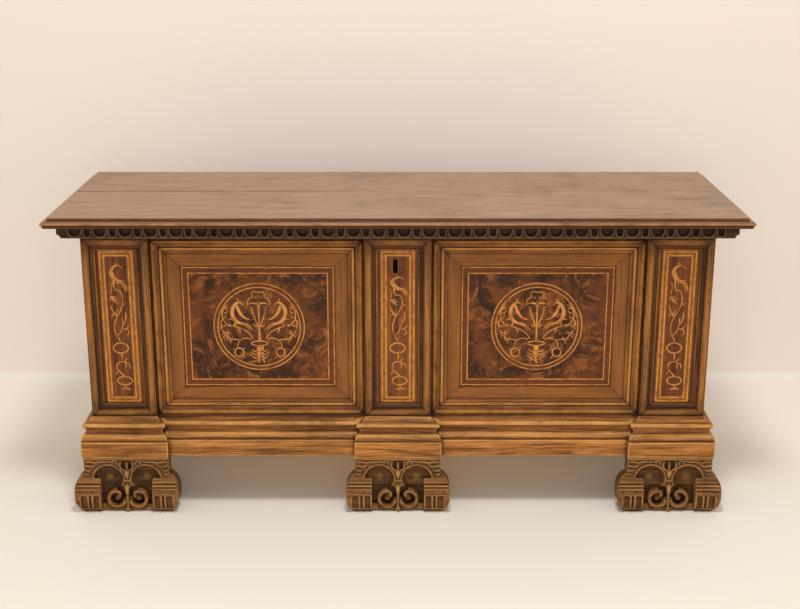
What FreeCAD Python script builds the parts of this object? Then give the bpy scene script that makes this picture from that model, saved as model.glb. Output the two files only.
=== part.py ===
import FreeCAD, Part
import math
import os
import re
import Sketcher

# Inlaid walnut cassone. Millimetres, +Z up, front towards -Y, origin under the middle of the whole chest.

SIZES = {
    # Whole chest
    "whole_high": 746,
    "case_long": 1496,
    # Lid
    "lid_end_reach": 77,
    "lid_deep": 560,
    "lid_thick": 24,
    "lid_rear_wide": 250,
    "lid_round_low": 7,
    "lid_round_high": 16,
    "lid_round_back": 4,
    "lid_under_back": 8,
    "lid_fillet_back": 3.5,
    "lid_quirk_back": 7,
    "lid_quirk_high": 1.6,
    "lid_cove_high": 21,
    "lid_cove_back": 6,
    "lid_arris_back": 15,
    "lid_batten_wide": 60,
    "lid_batten_thick": 18,
    "lid_batten_apart": 660,
    "lid_batten_gap": 8,
    # Carved strip under the lid
    "strip_inset": 30,
    "strip_high": 28,
    "strip_thick": 22,
    "strip_corner": 9,
    "strip_rear_inset": 40,
    "cup_pitch": 59,
    "cup_wide": 28,
    "cup_narrow": 15,
    "cup_high": 22,
    "cup_sunk": 7,
    # Walls of the case
    "front_wall": 24,
    "back_wall": 22,
    "end_wall": 24,
    "tail_root": 50,
    "tail_tip": 62,
    "tail_count": 6,
    "floor_thick": 16,
    "floor_batten_high": 20,
    "floor_batten_deep": 24,
    "floor_seam": 1,
    # Depths of the front, behind the nose of the lid and then behind the pilaster faces
    "face_back": 56,
    "bay_frame_back": 5,
    "field_back": 12,
    "panel_back": 18,
    "wall_back": 30,
    # Pilasters, rail and frames
    "pilaster_wide": 158,
    "return_thick": 18,
    "return_deep": 100,
    "rail_high": 33,
    "rail_gap": 2,
    "stile_round": 18,
    "stile_cove": 13,
    "stile_lip": 4,
    "stile_lip_proud": 3,
    "bay_bead": 15,
    "bay_cove": 10,
    "bay_ridge": 6,
    "bay_small_bead": 9,
    "bay_fascia": 31,
    "bay_cove_proud": 3,
    "bay_ridge_proud": 8,
    "bay_small_bead_proud": 5,
    "bay_fascia_proud": 4,
    "bay_lip_proud": 2,
    # Inlay
    "inlay_thick": 1.5,
    "inlay_gap": 0.1,
    "pilaster_band_inset": 2,
    "pilaster_band_side": 6,
    "pilaster_band_wide": 13,
    "panel_band_inset": 3,
    "panel_band_wide": 16.5,
    "ring_round": 110,
    "ring_wide": 12,
    # Moulded base
    "base_high": 101,
    "bay_base_back": 18,
    "plinth_high": 42,
    "plinth_out": 27,
    "ovolo_low": 45,
    "ovolo_high": 61,
    "ovolo_out": 25,
    "waist_out": 15,
    "bead_low": 77,
    "bead_high": 86,
    "bead_out": 18,
    "slope_out": 17,
    # Carved feet
    "foot_high": 139,
    "foot_shift": 2,
    "foot_block_half": 105,
    "foot_block_out": 24,
    "foot_deep": 72,
    "foot_carved_deep": 28,
    "foot_rear_half": 88,
    "foot_carving_half": 64,
    "volute_half": 127,
    "volute_out": 45,
    "volute_shoulder": 98,
    "volute_swell_high": 66,
    "volute_toe_half": 108,
    "volute_toe_out": 33,
    "volute_step": 4,
    "volute_step_high": 8,
    "flute_wide": 16,
    "flute_high": 36,
    "flute_low": 12,
    "flute_sunk": 8,
    "flute_slit": 5,
    "dish_round": 38,
    "dish_apart": 92,
    "dish_centre_high": 83,
    "dish_sunk": 15,
    "boss_round": 7,
    "hollow_sunk": 15,
    "scroll_round": 20.5,
    "scroll_thick": 4.2,
    "scroll_apart": 52,
    "scroll_centre_high": 34,
    "scroll_out": 8,
    "stem_wide": 7,
    "stem_flare": 26,
    "stem_high": 64,
    "collar_wide": 16,
    "collar_high": 6,
    "flower_round": 15,
    "flower_centre_high": 121,
    "flower_sunk": 7,
    "rear_foot_wide": 68,
    "rear_foot_deep": 90,
    "rear_foot_toe_inset": 8,
    # Strap hinges
    "hinge_inset": 228,
    "knuckle_round": 6,
    "leaf_thick": 3,
    "leaf_wide": 36,
    "leaf_high": 150,
    "strap_long": 190,
    "strap_tip_wide": 22,
    "strap_gap": 0.3,
    "knuckle_gap": 0.4,
    "hinge_pin_round": 3,
    "hinge_pin_gap": 0.05,
    "hinge_pin_head": 5,
    "hinge_pin_head_long": 2.5,
    # Nails
    "nail_half": 1.7,
    "nail_gap": 0.05,
    "nail_long": 18,
    "nail_head_half": 5,
    "nail_head_crown": 1,
    "nail_head_high": 2,
    "nail_inset": 24,
    "strap_nail_inset": 32,
    # Lock
    "lock_across": -6,
    "keyhole_wide": 11.5,
    "keyhole_high": 35,
    "keyhole_drop": 88,
    "lock_plate_wide": 150,
    "lock_plate_drop": 147,
    "lock_plate_top_gap": 4,
    "lock_plate_thick": 3,
    "lock_plate_nail_inset": 6,
    "lock_case_wide": 128,
    "lock_case_drop": 132,
    "lock_case_deep": 26,
    "lock_sheet": 2,
    "staple_thick": 6,
    "staple_wide": 16,
    "staple_eye_wide": 8,
    "staple_eye_high": 16,
    "staple_drop": 32,
    "staple_toe": 4,
    "staple_plate_wide": 44,
    "staple_plate_deep": 24,
    "staple_plate_thick": 2.5,
    "staple_slot_gap": 2.5,
    "bolt_high": 14,
    "bolt_thick": 6,
    "bolt_rest_gap": 2,
    "bolt_gap": 0.3,
    "bolt_travel": 12,
    "bolt_tail_wide": 10,
    "bolt_tail_drop": 62,
    "bolt_notch": 4,
    "keeper_wide": 6,
    "keeper_first": 4,
    "bolt_stop_gap": 1,
    "keeper_wall": 3,
    "spring_thick": 1,
    "spring_long": 18,
    "spring_gap": 0.5,
    "key_pin_round": 2.5,
    "key_pin_drop": 8,
    "key_pin_gap": 2,
    # One overrun for every cut
    "overrun": 5,
}

PLACES = {
    # Heights
    "lid_under": "whole_high - lid_thick",
    "strip_low": "lid_under - strip_high",
    "rail_top": "lid_under - rail_gap",
    "rail_low": "rail_top - rail_high",
    "base_top": "foot_high + base_high",
    # Depths, front to back
    "knuckle_wide": "knuckle_round*2",
    "nose": "0 - (lid_deep + knuckle_wide)/2",
    "back": "nose + lid_deep",
    "face": "nose + face_back",
    "field": "face + field_back",
    "panel": "face + panel_back",
    "wall": "face + wall_back",
    "wall_inside": "wall + front_wall",
    "back_inside": "back - back_wall",
    "lid_seam": "back - lid_rear_wide",
    # Widths, from the middle
    "case_half": "case_long/2",
    "lid_half": "case_half + lid_end_reach",
    "end_outside": "case_half - return_thick",
    "end_inside": "end_outside - end_wall",
    "pilaster_half": "pilaster_wide/2",
    "pilaster_centre": "case_half - pilaster_half",
    "bay_outer": "case_half - pilaster_wide",
    "bay_wide": "bay_outer - pilaster_half",
    "bay_centre": "(bay_outer + pilaster_half)/2",
    "strip_half": "lid_half - strip_inset",
    # Frames
    "frame_high": "rail_low - base_top",
    "frame_middle": "(rail_low + base_top)/2",
    "stile_wide": "stile_round + stile_cove",
    "stile_proud": "field_back",
    "bay_cove_at": "bay_bead + bay_cove",
    "bay_ridge_at": "bay_cove_at + bay_ridge",
    "bay_fascia_at": "bay_ridge_at + bay_small_bead",
    "bay_frame_wide": "bay_fascia_at + bay_fascia",
    "bay_proud": "panel_back - bay_frame_back",
    "panel_open_half": "bay_wide/2 - bay_frame_wide",
    "panel_open_high": "frame_high/2 - bay_frame_wide",
    "pilaster_open_half": "pilaster_half - stile_wide",
    "pilaster_open_high": "frame_high/2 - stile_wide",
    "pilaster_band_half": "pilaster_open_half - pilaster_band_side",
    # Dovetails
    "tail_pitch": "(lid_under - foot_high)/tail_count",
    "tail_first": "foot_high + tail_pitch/2",
    # Floor of the chest
    "floor_low": "foot_high + floor_batten_high",
    "floor_top": "floor_low + floor_thick",
    # Feet
    "foot_centre": "pilaster_centre - foot_shift",
    "dish_across": "dish_apart/2",
    "scroll_across": "scroll_apart/2",
    "hollow": "face - foot_block_out + hollow_sunk",
    "foot_front": "face - foot_block_out",
    "foot_back": "foot_front + foot_deep",
    "scroll_front": "foot_front - scroll_out",
    # Hinges
    "hinge_across": "case_half - hinge_inset",
    "knuckle_deep": "back + knuckle_round",
    "knuckle_up": "lid_under + leaf_thick - knuckle_round",
    "leaf_low": "knuckle_up - leaf_high",
    "middle_knuckle": "leaf_wide/3",
    "strap_tip": "back - strap_long",
    # Lock
    "keyhole_top": "lid_under - keyhole_drop",
    "keyhole_low": "keyhole_top - keyhole_high",
    "lock_plate_low": "lid_under - lock_plate_drop",
    "lock_case_low": "lid_under - lock_case_drop",
    "lock_plate_back": "wall_inside + lock_plate_thick",
    "lock_plate_top": "lid_under - lock_plate_top_gap",
    "lock_case_back": "lock_plate_back + lock_case_deep",
    "staple_deep": "lock_plate_back + (lock_case_deep - lock_sheet)/2",
    "staple_low": "lid_under - staple_drop",
    "eye_low": "staple_low + staple_toe",
    "bolt_up": "eye_low + staple_eye_high/2",
    "bolt_tip": "lock_across + staple_thick/2 + bolt_rest_gap",
    "bolt_tail_start": "keeper_first + keeper_wide + bolt_travel + bolt_stop_gap",
    "keeper_second": "bolt_tail_start + bolt_tail_wide + bolt_stop_gap*2",
    "bolt_long": "keeper_second + keeper_wide + bolt_travel + bolt_stop_gap*2",
}

# Swells of arcs: the rise of an arc over half its chord. A quarter circle's is the tangent
# of an eighth turn.
QUARTER_SHARE = math.tan(math.pi / 8)
FULL_ROUND_SHARE = 0.9
SOFT_ROUND_SHARE = 0.5
SHALLOW_SHARE = 0.25
NOSE_SHARE = 0.28
NEAR = 1e-6

PLANES = {"XY": "XY_Plane", "XZ": "XZ_Plane", "YZ": "YZ_Plane"}
AXES = {"X": "X_Axis", "Y": "Y_Axis", "Z": "Z_Axis"}
WORD = re.compile(r"[a-z][a-z_]*")

doc = FreeCAD.newDocument("Cassone")
sheet = doc.addObject("Spreadsheet::Sheet", "Sizes")
for row, (alias, number) in enumerate(SIZES.items(), 1):
    sheet.set(f"A{row}", alias)
    sheet.set(f"B{row}", str(number))
    sheet.setAlias(f"B{row}", alias)
doc.recompute()

nodes = []


def bound(text):
    """A size expression with each place written out and each size read from the sheet."""

    def written_out(found):
        word = found.group()
        if word in PLACES:
            return "(" + bound(PLACES[word]) + ")"
        return "Sizes." + word if word in SIZES else word

    return WORD.sub(written_out, str(text))


def value(text):
    return float(sheet.evalExpression(bound(text)))


def origin_feature(body, role):
    return next(item for item in body.Origin.OriginFeatures if item.Role == role)


def place(item, at=("0", "0", "0"), axis=None, turn=0):
    if axis:
        item.Placement.Rotation = FreeCAD.Rotation(FreeCAD.Vector(*axis), turn)
    for name, text in zip("xyz", at):
        item.setExpression(f"Placement.Base.{name}", bound(text))


def new_body(label, at=("0", "0", "0"), axis=None, turn=0):
    body = doc.addObject("PartDesign::Body", label)
    body.Label = label
    place(body, at, axis, turn)
    return body


def box(low_across, low_up, high_across, high_up):
    """A rectangle as a closed loop, clockwise."""
    return [
        (low_across, low_up, 0),
        (low_across, high_up, 0),
        (high_across, high_up, 0),
        (high_across, low_up, 0),
    ]


def ring(across, up, radius):
    return ("ring", across, up, radius)


def moulded(points, face, side, low):
    """A moulding's points, bottom to top, stood out from a face towards one side."""
    return [(f"{face} + {side}*({out})", f"{low} + {up}", -side * swell) for out, up, swell in points]


def arc_middle(start, end, swell):
    along = end - start
    left = FreeCAD.Vector(-along.y, along.x, 0)
    return (start + end) / 2 + left * (swell / 2)


def draw_ring(sketch, across, up, radius):
    centre = FreeCAD.Vector(value(across), value(up), 0)
    circle = Part.Circle(centre, FreeCAD.Vector(0, 0, 1), value(radius))
    number = sketch.addGeometry(circle, False)
    for kind, text, size in (("DistanceX", across, centre.x), ("DistanceY", up, centre.y)):
        held = sketch.addConstraint(Sketcher.Constraint(kind, -1, 1, number, 3, size))
        sketch.setExpression(f"Constraints[{held}]", bound(text))
    held = sketch.addConstraint(Sketcher.Constraint("Radius", number, circle.Radius))
    sketch.setExpression(f"Constraints[{held}]", bound(radius))


def hold_centre(sketch, edge, first, last):
    """Ties an arc's centre to its ends: it lies square off the chord's middle, by a share of the chord."""
    (across, up, swell), (next_across, next_up, _) = first, last
    share = (1 - swell**2) / (4 * swell)
    run = value(f"({next_across}) - ({across})")
    rise = value(f"({next_up}) - ({up})")
    centre = sketch.Geometry[edge].Center
    if abs(rise) > abs(run):
        text = f"(({across}) + ({next_across}))/2 + (({next_up}) - ({up}))*({share})"
        held = sketch.addConstraint(Sketcher.Constraint("DistanceX", -1, 1, edge, 3, centre.x))
    else:
        text = f"(({up}) + ({next_up}))/2 - (({next_across}) - ({across}))*({share})"
        held = sketch.addConstraint(Sketcher.Constraint("DistanceY", -1, 1, edge, 3, centre.y))
    sketch.setExpression(f"Constraints[{held}]", bound(text))


def draw_loop(sketch, loop):
    corners = [FreeCAD.Vector(value(across), value(up), 0) for across, up, _ in loop]
    numbers = []
    starts = []
    for index, (start, (_, _, swell)) in enumerate(zip(corners, loop)):
        end = corners[(index + 1) % len(corners)]
        if swell:
            edge = Part.ArcOfCircle(start, arc_middle(start, end, swell), end)
        else:
            edge = Part.LineSegment(start, end)
        number = sketch.addGeometry(edge, False)
        numbers.append(number)
        starts.append(1 if (sketch.getPoint(number, 1) - start).Length < NEAR else 2)
    for index, (across, up, swell) in enumerate(loop):
        after = (index + 1) % len(loop)
        edge = numbers[index]
        start = starts[index]
        joined = (edge, 3 - start, numbers[after], starts[after])
        sketch.addConstraint(Sketcher.Constraint("Coincident", *joined))
        corner = corners[index]
        for kind, text, size in (("DistanceX", across, corner.x), ("DistanceY", up, corner.y)):
            held = sketch.addConstraint(Sketcher.Constraint(kind, -1, 1, edge, start, size))
            sketch.setExpression(f"Constraints[{held}]", bound(text))
        if swell:
            hold_centre(sketch, edge, loop[index], loop[after])


def new_sketch(body, plane, loops, at, shift=("0", "0")):
    sketch = body.newObject("Sketcher::SketchObject", f"{body.Label}_outline")
    sketch.AttachmentSupport = [(origin_feature(body, PLANES[plane]), "")]
    sketch.MapMode = "FlatFace"
    lift = f"0 - ({at})" if plane == "XZ" else at
    for name, text in zip("xyz", (*shift, lift)):
        sketch.setExpression(f"AttachmentOffset.Base.{name}", bound(text))
    for loop in loops:
        if loop[0] == "ring":
            draw_ring(sketch, *loop[1:])
        else:
            draw_loop(sketch, loop)
    return sketch


def along_normal(plane, start, stop):
    forward = value(stop) > value(start)
    return forward != (plane == "XZ")


def add(body, plane, loops, start, stop):
    """Material between two places along the plane's normal."""
    sketch = new_sketch(body, plane, loops, start)
    pad = body.newObject("PartDesign::Pad", f"{body.Label}_pad")
    pad.Profile = sketch
    pad.Reversed = not along_normal(plane, start, stop)
    pad.setExpression("Length", bound(f"abs(({stop}) - ({start}))"))
    return pad


def cut(body, plane, loops, start, stop):
    """A recess between two places along the plane's normal. It has to take material away."""
    doc.recompute()
    before = body.Shape.Volume
    sketch = new_sketch(body, plane, loops, start)
    pocket = body.newObject("PartDesign::Pocket", f"{body.Label}_pocket")
    pocket.Profile = sketch
    pocket.Reversed = along_normal(plane, start, stop)
    pocket.setExpression("Length", bound(f"abs(({stop}) - ({start}))"))
    doc.recompute()
    if not body.Shape.Volume < before:
        raise RuntimeError(f"{pocket.Label} cuts nothing")
    return pocket


def repeat(body, feature, axis, pitch, count):
    """Copies of a feature along one of the body's axes."""
    doc.recompute()
    pattern = body.newObject("PartDesign::LinearPattern", f"{body.Label}_row")
    pattern.Originals = [feature]
    pattern.Direction = (origin_feature(body, AXES[axis]), [""])
    pattern.Mode = "Spacing"
    pattern.setExpression("Offset", bound(pitch))
    pattern.setExpression("Occurrences", bound(count))
    body.Tip = pattern
    doc.recompute()
    return pattern


def turned(body, plane, loops, at, shift, cutting=False, angle=360, backward=False):
    """A round form about a line that runs along the sketch's own first axis."""
    doc.recompute()
    before = body.Shape.Volume if cutting else 0
    sketch = new_sketch(body, plane, loops, at, shift)
    kind = "PartDesign::Groove" if cutting else "PartDesign::Revolution"
    feature = body.newObject(kind, f"{body.Label}_round")
    feature.Profile = sketch
    feature.ReferenceAxis = (sketch, ["H_Axis"])
    feature.Angle = angle
    feature.Reversed = backward
    doc.recompute()
    if cutting and not body.Shape.Volume < before:
        raise RuntimeError(f"{feature.Label} cuts nothing")
    return feature


def keep(item):
    nodes.append(item)
    return item


def group(label, pieces):
    """One named node that holds several separate solids."""
    gathered = doc.addObject("Part::Compound", label)
    gathered.Label = label
    gathered.Links = pieces
    return keep(gathered)


# The moulded base: how far out of the face, how high above the feet, and the swell to the next point
BASE_PROFILE = [
    ("plinth_out", "0", 0),
    ("plinth_out", "plinth_high", 0),
    ("ovolo_out", "plinth_high", 0),
    ("ovolo_out", "ovolo_low", QUARTER_SHARE),
    ("waist_out", "ovolo_high", -SHALLOW_SHARE),
    ("bead_out", "bead_low", FULL_ROUND_SHARE),
    ("bead_out", "bead_high", 0),
    ("slope_out", "bead_high", -SHALLOW_SHARE),
    ("0", "base_high", 0),
]

# The edge of the lid: how far behind its nose, how high above its underside
LID_PROFILE = [
    ("0 - lid_under_back", "0", SHALLOW_SHARE),
    ("0 - lid_fillet_back", "lid_round_low - lid_quirk_high", 0),
    ("0 - lid_quirk_back", "lid_round_low - lid_quirk_high", 0),
    ("0 - lid_quirk_back", "lid_round_low", 0),
    ("0 - lid_round_back", "lid_round_low", NOSE_SHARE),
    ("0", "(lid_round_low + lid_round_high)/2", NOSE_SHARE),
    ("0 - lid_round_back", "lid_round_high", 0),
    ("0 - lid_cove_back", "lid_round_high", -QUARTER_SHARE),
    ("0 - lid_arris_back", "lid_cove_high", 0),
    ("0 - lid_arris_back", "lid_thick", 0),
]


def tail_outline(tip, root):
    """One dovetail, seen along the chest: wide at the outer face, narrow at the inner one."""
    return [
        (tip, "tail_first - tail_tip/2", 0),
        (tip, "tail_first + tail_tip/2", 0),
        (root, "tail_first + tail_root/2", 0),
        (root, "tail_first - tail_root/2", 0),
    ]


def long_wall(label, outside, inside):
    """Front or back board, with a row of dovetail sockets at each end."""
    body = new_body(label)
    outline = box("0 - end_outside", "foot_high", "end_outside", "lid_under")
    add(body, "XZ", [outline], inside, outside)
    for side in (-1, 1):
        socket = [tail_outline(outside, inside)]
        first = cut(body, "YZ", socket, f"{side}*end_inside", f"{side}*(end_outside + overrun)")
        repeat(body, first, "Z", "tail_pitch", "tail_count")
    return keep(body)


def end_wall(label, side):
    """End board with a row of dovetails into the front and into the back."""
    body = new_body(label)
    inside = f"{side}*end_inside"
    outside = f"{side}*end_outside"
    add(body, "YZ", [box("wall_inside", "foot_high", "back_inside", "lid_under")], inside, outside)
    for tip, root in (("wall", "wall_inside"), ("back", "back_inside")):
        first = add(body, "YZ", [tail_outline(tip, root)], inside, outside)
        repeat(body, first, "Z", "tail_pitch", "tail_count")
    return keep(body)


def nail_seats(body, plane, centres, start, stop):
    half = "(nail_half + nail_gap)"
    seats = []
    for across, up in centres:
        seats.append(box(f"{across} - {half}", f"{up} - {half}", f"{across} + {half}", f"{up} + {half}"))
    return cut(body, plane, seats, start, stop)


HEAD_SIZES = {
    "Xmin": "0 - nail_head_half",
    "Xmax": "nail_head_half",
    "Zmin": "0 - nail_head_half",
    "Zmax": "nail_head_half",
    "X2min": "0 - nail_head_crown",
    "X2max": "nail_head_crown",
    "Z2min": "0 - nail_head_crown",
    "Z2max": "nail_head_crown",
    "Ymin": "0",
    "Ymax": "nail_head_high",
}


def nail(label, at, axis=None, turn=0):
    """A forged nail: a four-sided head that rests on the origin, and a square shank down from it."""
    body = new_body(label, at, axis, turn)
    shank = box("0 - nail_half", "0 - nail_half", "nail_half", "nail_half")
    add(body, "XZ", [shank], "0 - nail_long", "0")
    head = body.newObject("PartDesign::AdditiveWedge", f"{label}_head")
    for name, text in HEAD_SIZES.items():
        head.setExpression(name, bound(text))
    return body


def keyhole(plane_top="keyhole_top"):
    half = "keyhole_wide/2"
    return box(f"lock_across - {half}", "keyhole_low", f"lock_across + {half}", plane_top)


# Case walls
front_board = long_wall("front_board", "wall", "wall_inside")
cut(front_board, "XZ", [keyhole()], "wall - overrun", "wall_inside + overrun")
LOCK_NAILS = [
    (f"lock_across + {side}*(lock_plate_wide/2 - lock_plate_nail_inset)", up)
    for side in (-1, 1)
    for up in ("lock_plate_low + lock_plate_nail_inset", "lock_plate_top - lock_plate_nail_inset")
]
NAIL_REACH = "(nail_long + nail_gap)"
nail_seats(front_board, "XZ", LOCK_NAILS, "wall_inside + overrun", f"lock_plate_back - {NAIL_REACH}")

back_board = long_wall("back_board", "back", "back_inside")
LEAF_NAIL_ROWS = ["leaf_low + nail_inset/2", "leaf_low + leaf_high/2", "knuckle_up - nail_inset"]
LEAF_NAILS = [(f"{side}*hinge_across", up) for side in (-1, 1) for up in LEAF_NAIL_ROWS]
nail_seats(back_board, "XZ", LEAF_NAILS, "back + overrun", f"back + leaf_thick - {NAIL_REACH}")

end_wall("left_end_board", -1)
end_wall("right_end_board", 1)

# Bottom: three planks the length of the chest, on battens along the front and the back
planks = []
for number in range(3):
    plank = new_body(f"bottom_plank_{number}")
    wide = "(back_inside - wall_inside)/3"
    low = f"wall_inside + {number}*{wide} + floor_seam/2"
    high = f"wall_inside + {number + 1}*{wide} - floor_seam/2"
    outline = box("0 - end_inside + floor_seam/2", low, "end_inside - floor_seam/2", high)
    add(plank, "XY", [outline], "floor_low", "floor_top")
    planks.append(plank)
group("bottom_boards", planks)

battens = []
for name, low, high in (
    ("front", "wall_inside", "wall_inside + floor_batten_deep"),
    ("rear", "back_inside - floor_batten_deep", "back_inside"),
):
    batten = new_body(f"{name}_bottom_batten")
    add(batten, "XY", [box("0 - end_inside", low, "end_inside", high)], "foot_high", "floor_low")
    battens.append(batten)
group("bottom_battens", battens)

# Rail across the front, hidden behind the carved strip
rail = keep(new_body("frieze_rail"))
add(rail, "XZ", [box("0 - case_half", "rail_low", "case_half", "rail_top")], "wall", "face")

# Panels
BAYS = (("left", -1), ("right", 1))


def open_box(half_wide, half_high, inset, centre_up):
    """A rectangle about a bay's or a pilaster's middle, drawn in by an inset."""
    wide = f"({half_wide} - ({inset}))"
    high = f"({half_high} - ({inset}))"
    return box(f"0 - {wide}", f"{centre_up} - {high}", wide, f"{centre_up} + {high}")


def band_loops(half_wide, half_high, inset, wide, gap):
    return [
        open_box(half_wide, half_high, f"{inset} - {gap}", "frame_middle"),
        open_box(half_wide, half_high, f"{inset} + {wide} + {gap}", "frame_middle"),
    ]


def ring_loops(gap):
    return [
        ring("0", "frame_middle", f"ring_round + {gap}"),
        ring("0", "frame_middle", f"ring_round - ring_wide - {gap}"),
    ]


PANEL_BAND = ("panel_open_half", "panel_open_high", "panel_band_inset", "panel_band_wide")
PILASTER_BAND = ("pilaster_band_half", "pilaster_open_high", "pilaster_band_inset", "pilaster_band_wide")

for name, side in BAYS:
    middle = (f"{side}*bay_centre", "0", "0")
    board = keep(new_body(f"{name}_panel_board", middle))
    outline = box("0 - bay_wide/2", "base_top", "bay_wide/2", "rail_low")
    add(board, "XZ", [outline], "wall", "panel")
    cut(board, "XZ", band_loops(*PANEL_BAND, "inlay_gap"), "panel - overrun", "panel + inlay_thick")
    cut(board, "XZ", ring_loops("inlay_gap"), "panel - overrun", "panel + inlay_thick")

    band = new_body(f"{name}_panel_stringing", middle)
    add(band, "XZ", band_loops(*PANEL_BAND, "0"), "panel + inlay_thick", "panel")
    medallion = new_body(f"{name}_medallion_ring", middle)
    add(medallion, "XZ", ring_loops("0"), "panel + inlay_thick", "panel")
    group(f"{name}_panel_banding", [band, medallion])

# Section of the mouldings round a bay, outer edge first: how far in, how far proud, swell to the next point
BAY_PROFILE = [
    ("0", "0", 0),
    ("0", "bay_proud/2", SOFT_ROUND_SHARE),
    ("bay_bead/2", "bay_proud", SOFT_ROUND_SHARE),
    ("bay_bead", "bay_ridge_proud", -SOFT_ROUND_SHARE),
    ("bay_cove_at", "bay_cove_proud", 0),
    ("bay_cove_at", "bay_ridge_proud", 0),
    ("bay_ridge_at", "bay_ridge_proud", SOFT_ROUND_SHARE),
    ("bay_fascia_at", "bay_small_bead_proud", 0),
    ("bay_fascia_at", "bay_fascia_proud", 0),
    ("bay_frame_wide", "bay_lip_proud", 0),
    ("bay_frame_wide", "0", 0),
]

# Section of the mouldings round a pilaster field
STILE_PROFILE = [
    ("0", "0", 0),
    ("0", "stile_proud*3/4", QUARTER_SHARE),
    ("stile_round/4", "stile_proud", 0),
    ("stile_round*3/4", "stile_proud", QUARTER_SHARE),
    ("stile_round", "stile_proud*3/4", 0),
    ("stile_round", "stile_proud/2", -QUARTER_SHARE),
    ("(stile_wide - stile_lip)", "stile_lip_proud/3", 0),
    ("(stile_wide - stile_lip)", "stile_lip_proud", 0),
    ("stile_wide", "stile_lip_proud", 0),
    ("stile_wide", "0", 0),
]

TURNS = (("top", 0), ("right", 90), ("bottom", 180), ("left", 270))


def mitred(label, profile, wide, long, centre, turn, ground):
    """One moulding of a frame, mitred. It runs along X at the top, and is turned about the middle."""
    half = f"({long})/2"
    outward = {
        0: ("0", "frame_high/2"),
        180: ("0", "0 - frame_high/2"),
        90: (f"{centre[1]}", "0"),
        270: (f"0 - {centre[1]}", "0"),
    }[turn]
    at = (f"{centre[0]} + {outward[0]}", ground, f"frame_middle + {outward[1]}")
    body = new_body(label, at, (0, 1, 0), turn)
    section = [(f"0 - {proud}", f"0 - {inward}", swell) for inward, proud, swell in profile]
    add(body, "YZ", [section], f"0 - {half}", half)
    for side in (-1, 1):
        corner = [
            (f"{side}*({half})", "0", 0),
            (f"{side}*({half} + overrun)", "0", 0),
            (f"{side}*({half} + overrun)", f"0 - {wide} - overrun", 0),
            (f"{side}*({half} - {wide} - overrun)", f"0 - {wide} - overrun", 0),
        ]
        cut(body, "XZ", [corner], "overrun", "0 - panel_back - overrun")
    return body


for name, side in BAYS:
    for edge, turn in TURNS:
        long = "bay_wide" if turn % 180 == 0 else "frame_high"
        centre = (f"{side}*bay_centre", "bay_wide/2")
        keep(mitred(f"{name}_frame_{edge}", BAY_PROFILE, "bay_frame_wide", long, centre, turn, "panel"))

# Pilasters
PILASTERS = (("left", -1), ("centre", 0), ("right", 1))

for name, side in PILASTERS:
    middle = (f"{side}*pilaster_centre", "0", "0")
    board = keep(new_body(f"{name}_pilaster_board", middle))
    outline = box("0 - pilaster_half", "base_top", "pilaster_half", "rail_low")
    add(board, "XZ", [outline], "wall", "field")
    if side:
        outer = f"{side}*pilaster_half"
        inner = f"{side}*(pilaster_half - return_thick)"
        strip = box(inner, "wall", outer, "face + return_deep")
        add(board, "XY", [strip], "base_top", "rail_low")
    else:
        cut(board, "XZ", [keyhole()], "field - overrun", "wall + overrun")
    pocket_loops = band_loops(*PILASTER_BAND, "inlay_gap")
    cut(board, "XZ", pocket_loops, "field - overrun", "field + inlay_thick")

    band = keep(new_body(f"{name}_pilaster_banding", middle))
    add(band, "XZ", band_loops(*PILASTER_BAND, "0"), "field + inlay_thick", "field")

    stiles = []
    for edge, turn in TURNS:
        long = "pilaster_wide" if turn % 180 == 0 else "frame_high"
        centre = (f"{side}*pilaster_centre", "pilaster_half")
        label = f"{name}_pilaster_{edge}"
        stiles.append(mitred(label, STILE_PROFILE, "stile_wide", long, centre, turn, "field"))
    group(f"{name}_pilaster_frame", stiles)


# Base
def base_section(face, back):
    front = moulded(BASE_PROFILE, face, -1, "foot_high")
    return [(back, "foot_high", 0), *front, (back, "base_top", 0)]


def outside_region(half, side):
    """What lies beyond the profiled side of a pedestal."""
    profile = moulded(BASE_PROFILE, f"{side}*{half}", side, "foot_high")
    first = (profile[0][0], "foot_high - overrun", 0)
    last = (profile[-1][0], "base_top + overrun", 0)
    beyond = f"{side}*({half} + plinth_out + overrun)"
    return [first, *profile, last, (beyond, "base_top + overrun", 0), (beyond, "foot_high - overrun", 0)]


for name, side in PILASTERS:
    pedestal = keep(new_body(f"{name}_pedestal", (f"{side}*pilaster_centre", "0", "0")))
    half = "(pilaster_half + plinth_out)"
    back = "face + return_deep" if side else "wall"
    add(pedestal, "YZ", [base_section("face", back)], f"0 - {half}", half)
    for edge in (-1, 1):
        region = outside_region("pilaster_half", edge)
        cut(pedestal, "XZ", [region], "face - plinth_out - overrun", "face + return_deep + overrun")
    if side:
        inner = f"{side}*(pilaster_half - return_thick)"
        inward = f"0 - {side}*({half} + overrun)"
        hole = box(inward, "wall", inner, "face + return_deep + overrun")
        cut(pedestal, "XY", [hole], "foot_high - overrun", "base_top + overrun")

for name, side in BAYS:
    moulding = keep(new_body(f"{name}_base_moulding", (f"{side}*bay_centre", "0", "0")))
    face = "face + bay_base_back"
    add(moulding, "YZ", [base_section(face, "wall")], "0 - bay_wide/2", "bay_wide/2")
    for edge in (-1, 1):
        profile = moulded(BASE_PROFILE, f"{edge}*bay_wide/2", -edge, "foot_high")
        beyond = f"{edge}*(bay_wide/2 + overrun)"
        coped = [(beyond, "foot_high", 0), *profile, (beyond, "base_top", 0)]
        cut(moulding, "XZ", [coped], f"{face} - plinth_out - overrun", "wall + overrun")

for name, side in BAYS:
    moulding = keep(new_body(f"{name}_side_base_moulding"))
    section = moulded(BASE_PROFILE, f"{side}*end_outside", side, "foot_high")
    loop = [(f"{side}*end_outside", "foot_high", 0), *section]
    add(moulding, "XZ", [loop], "face + return_deep", "back")


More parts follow.
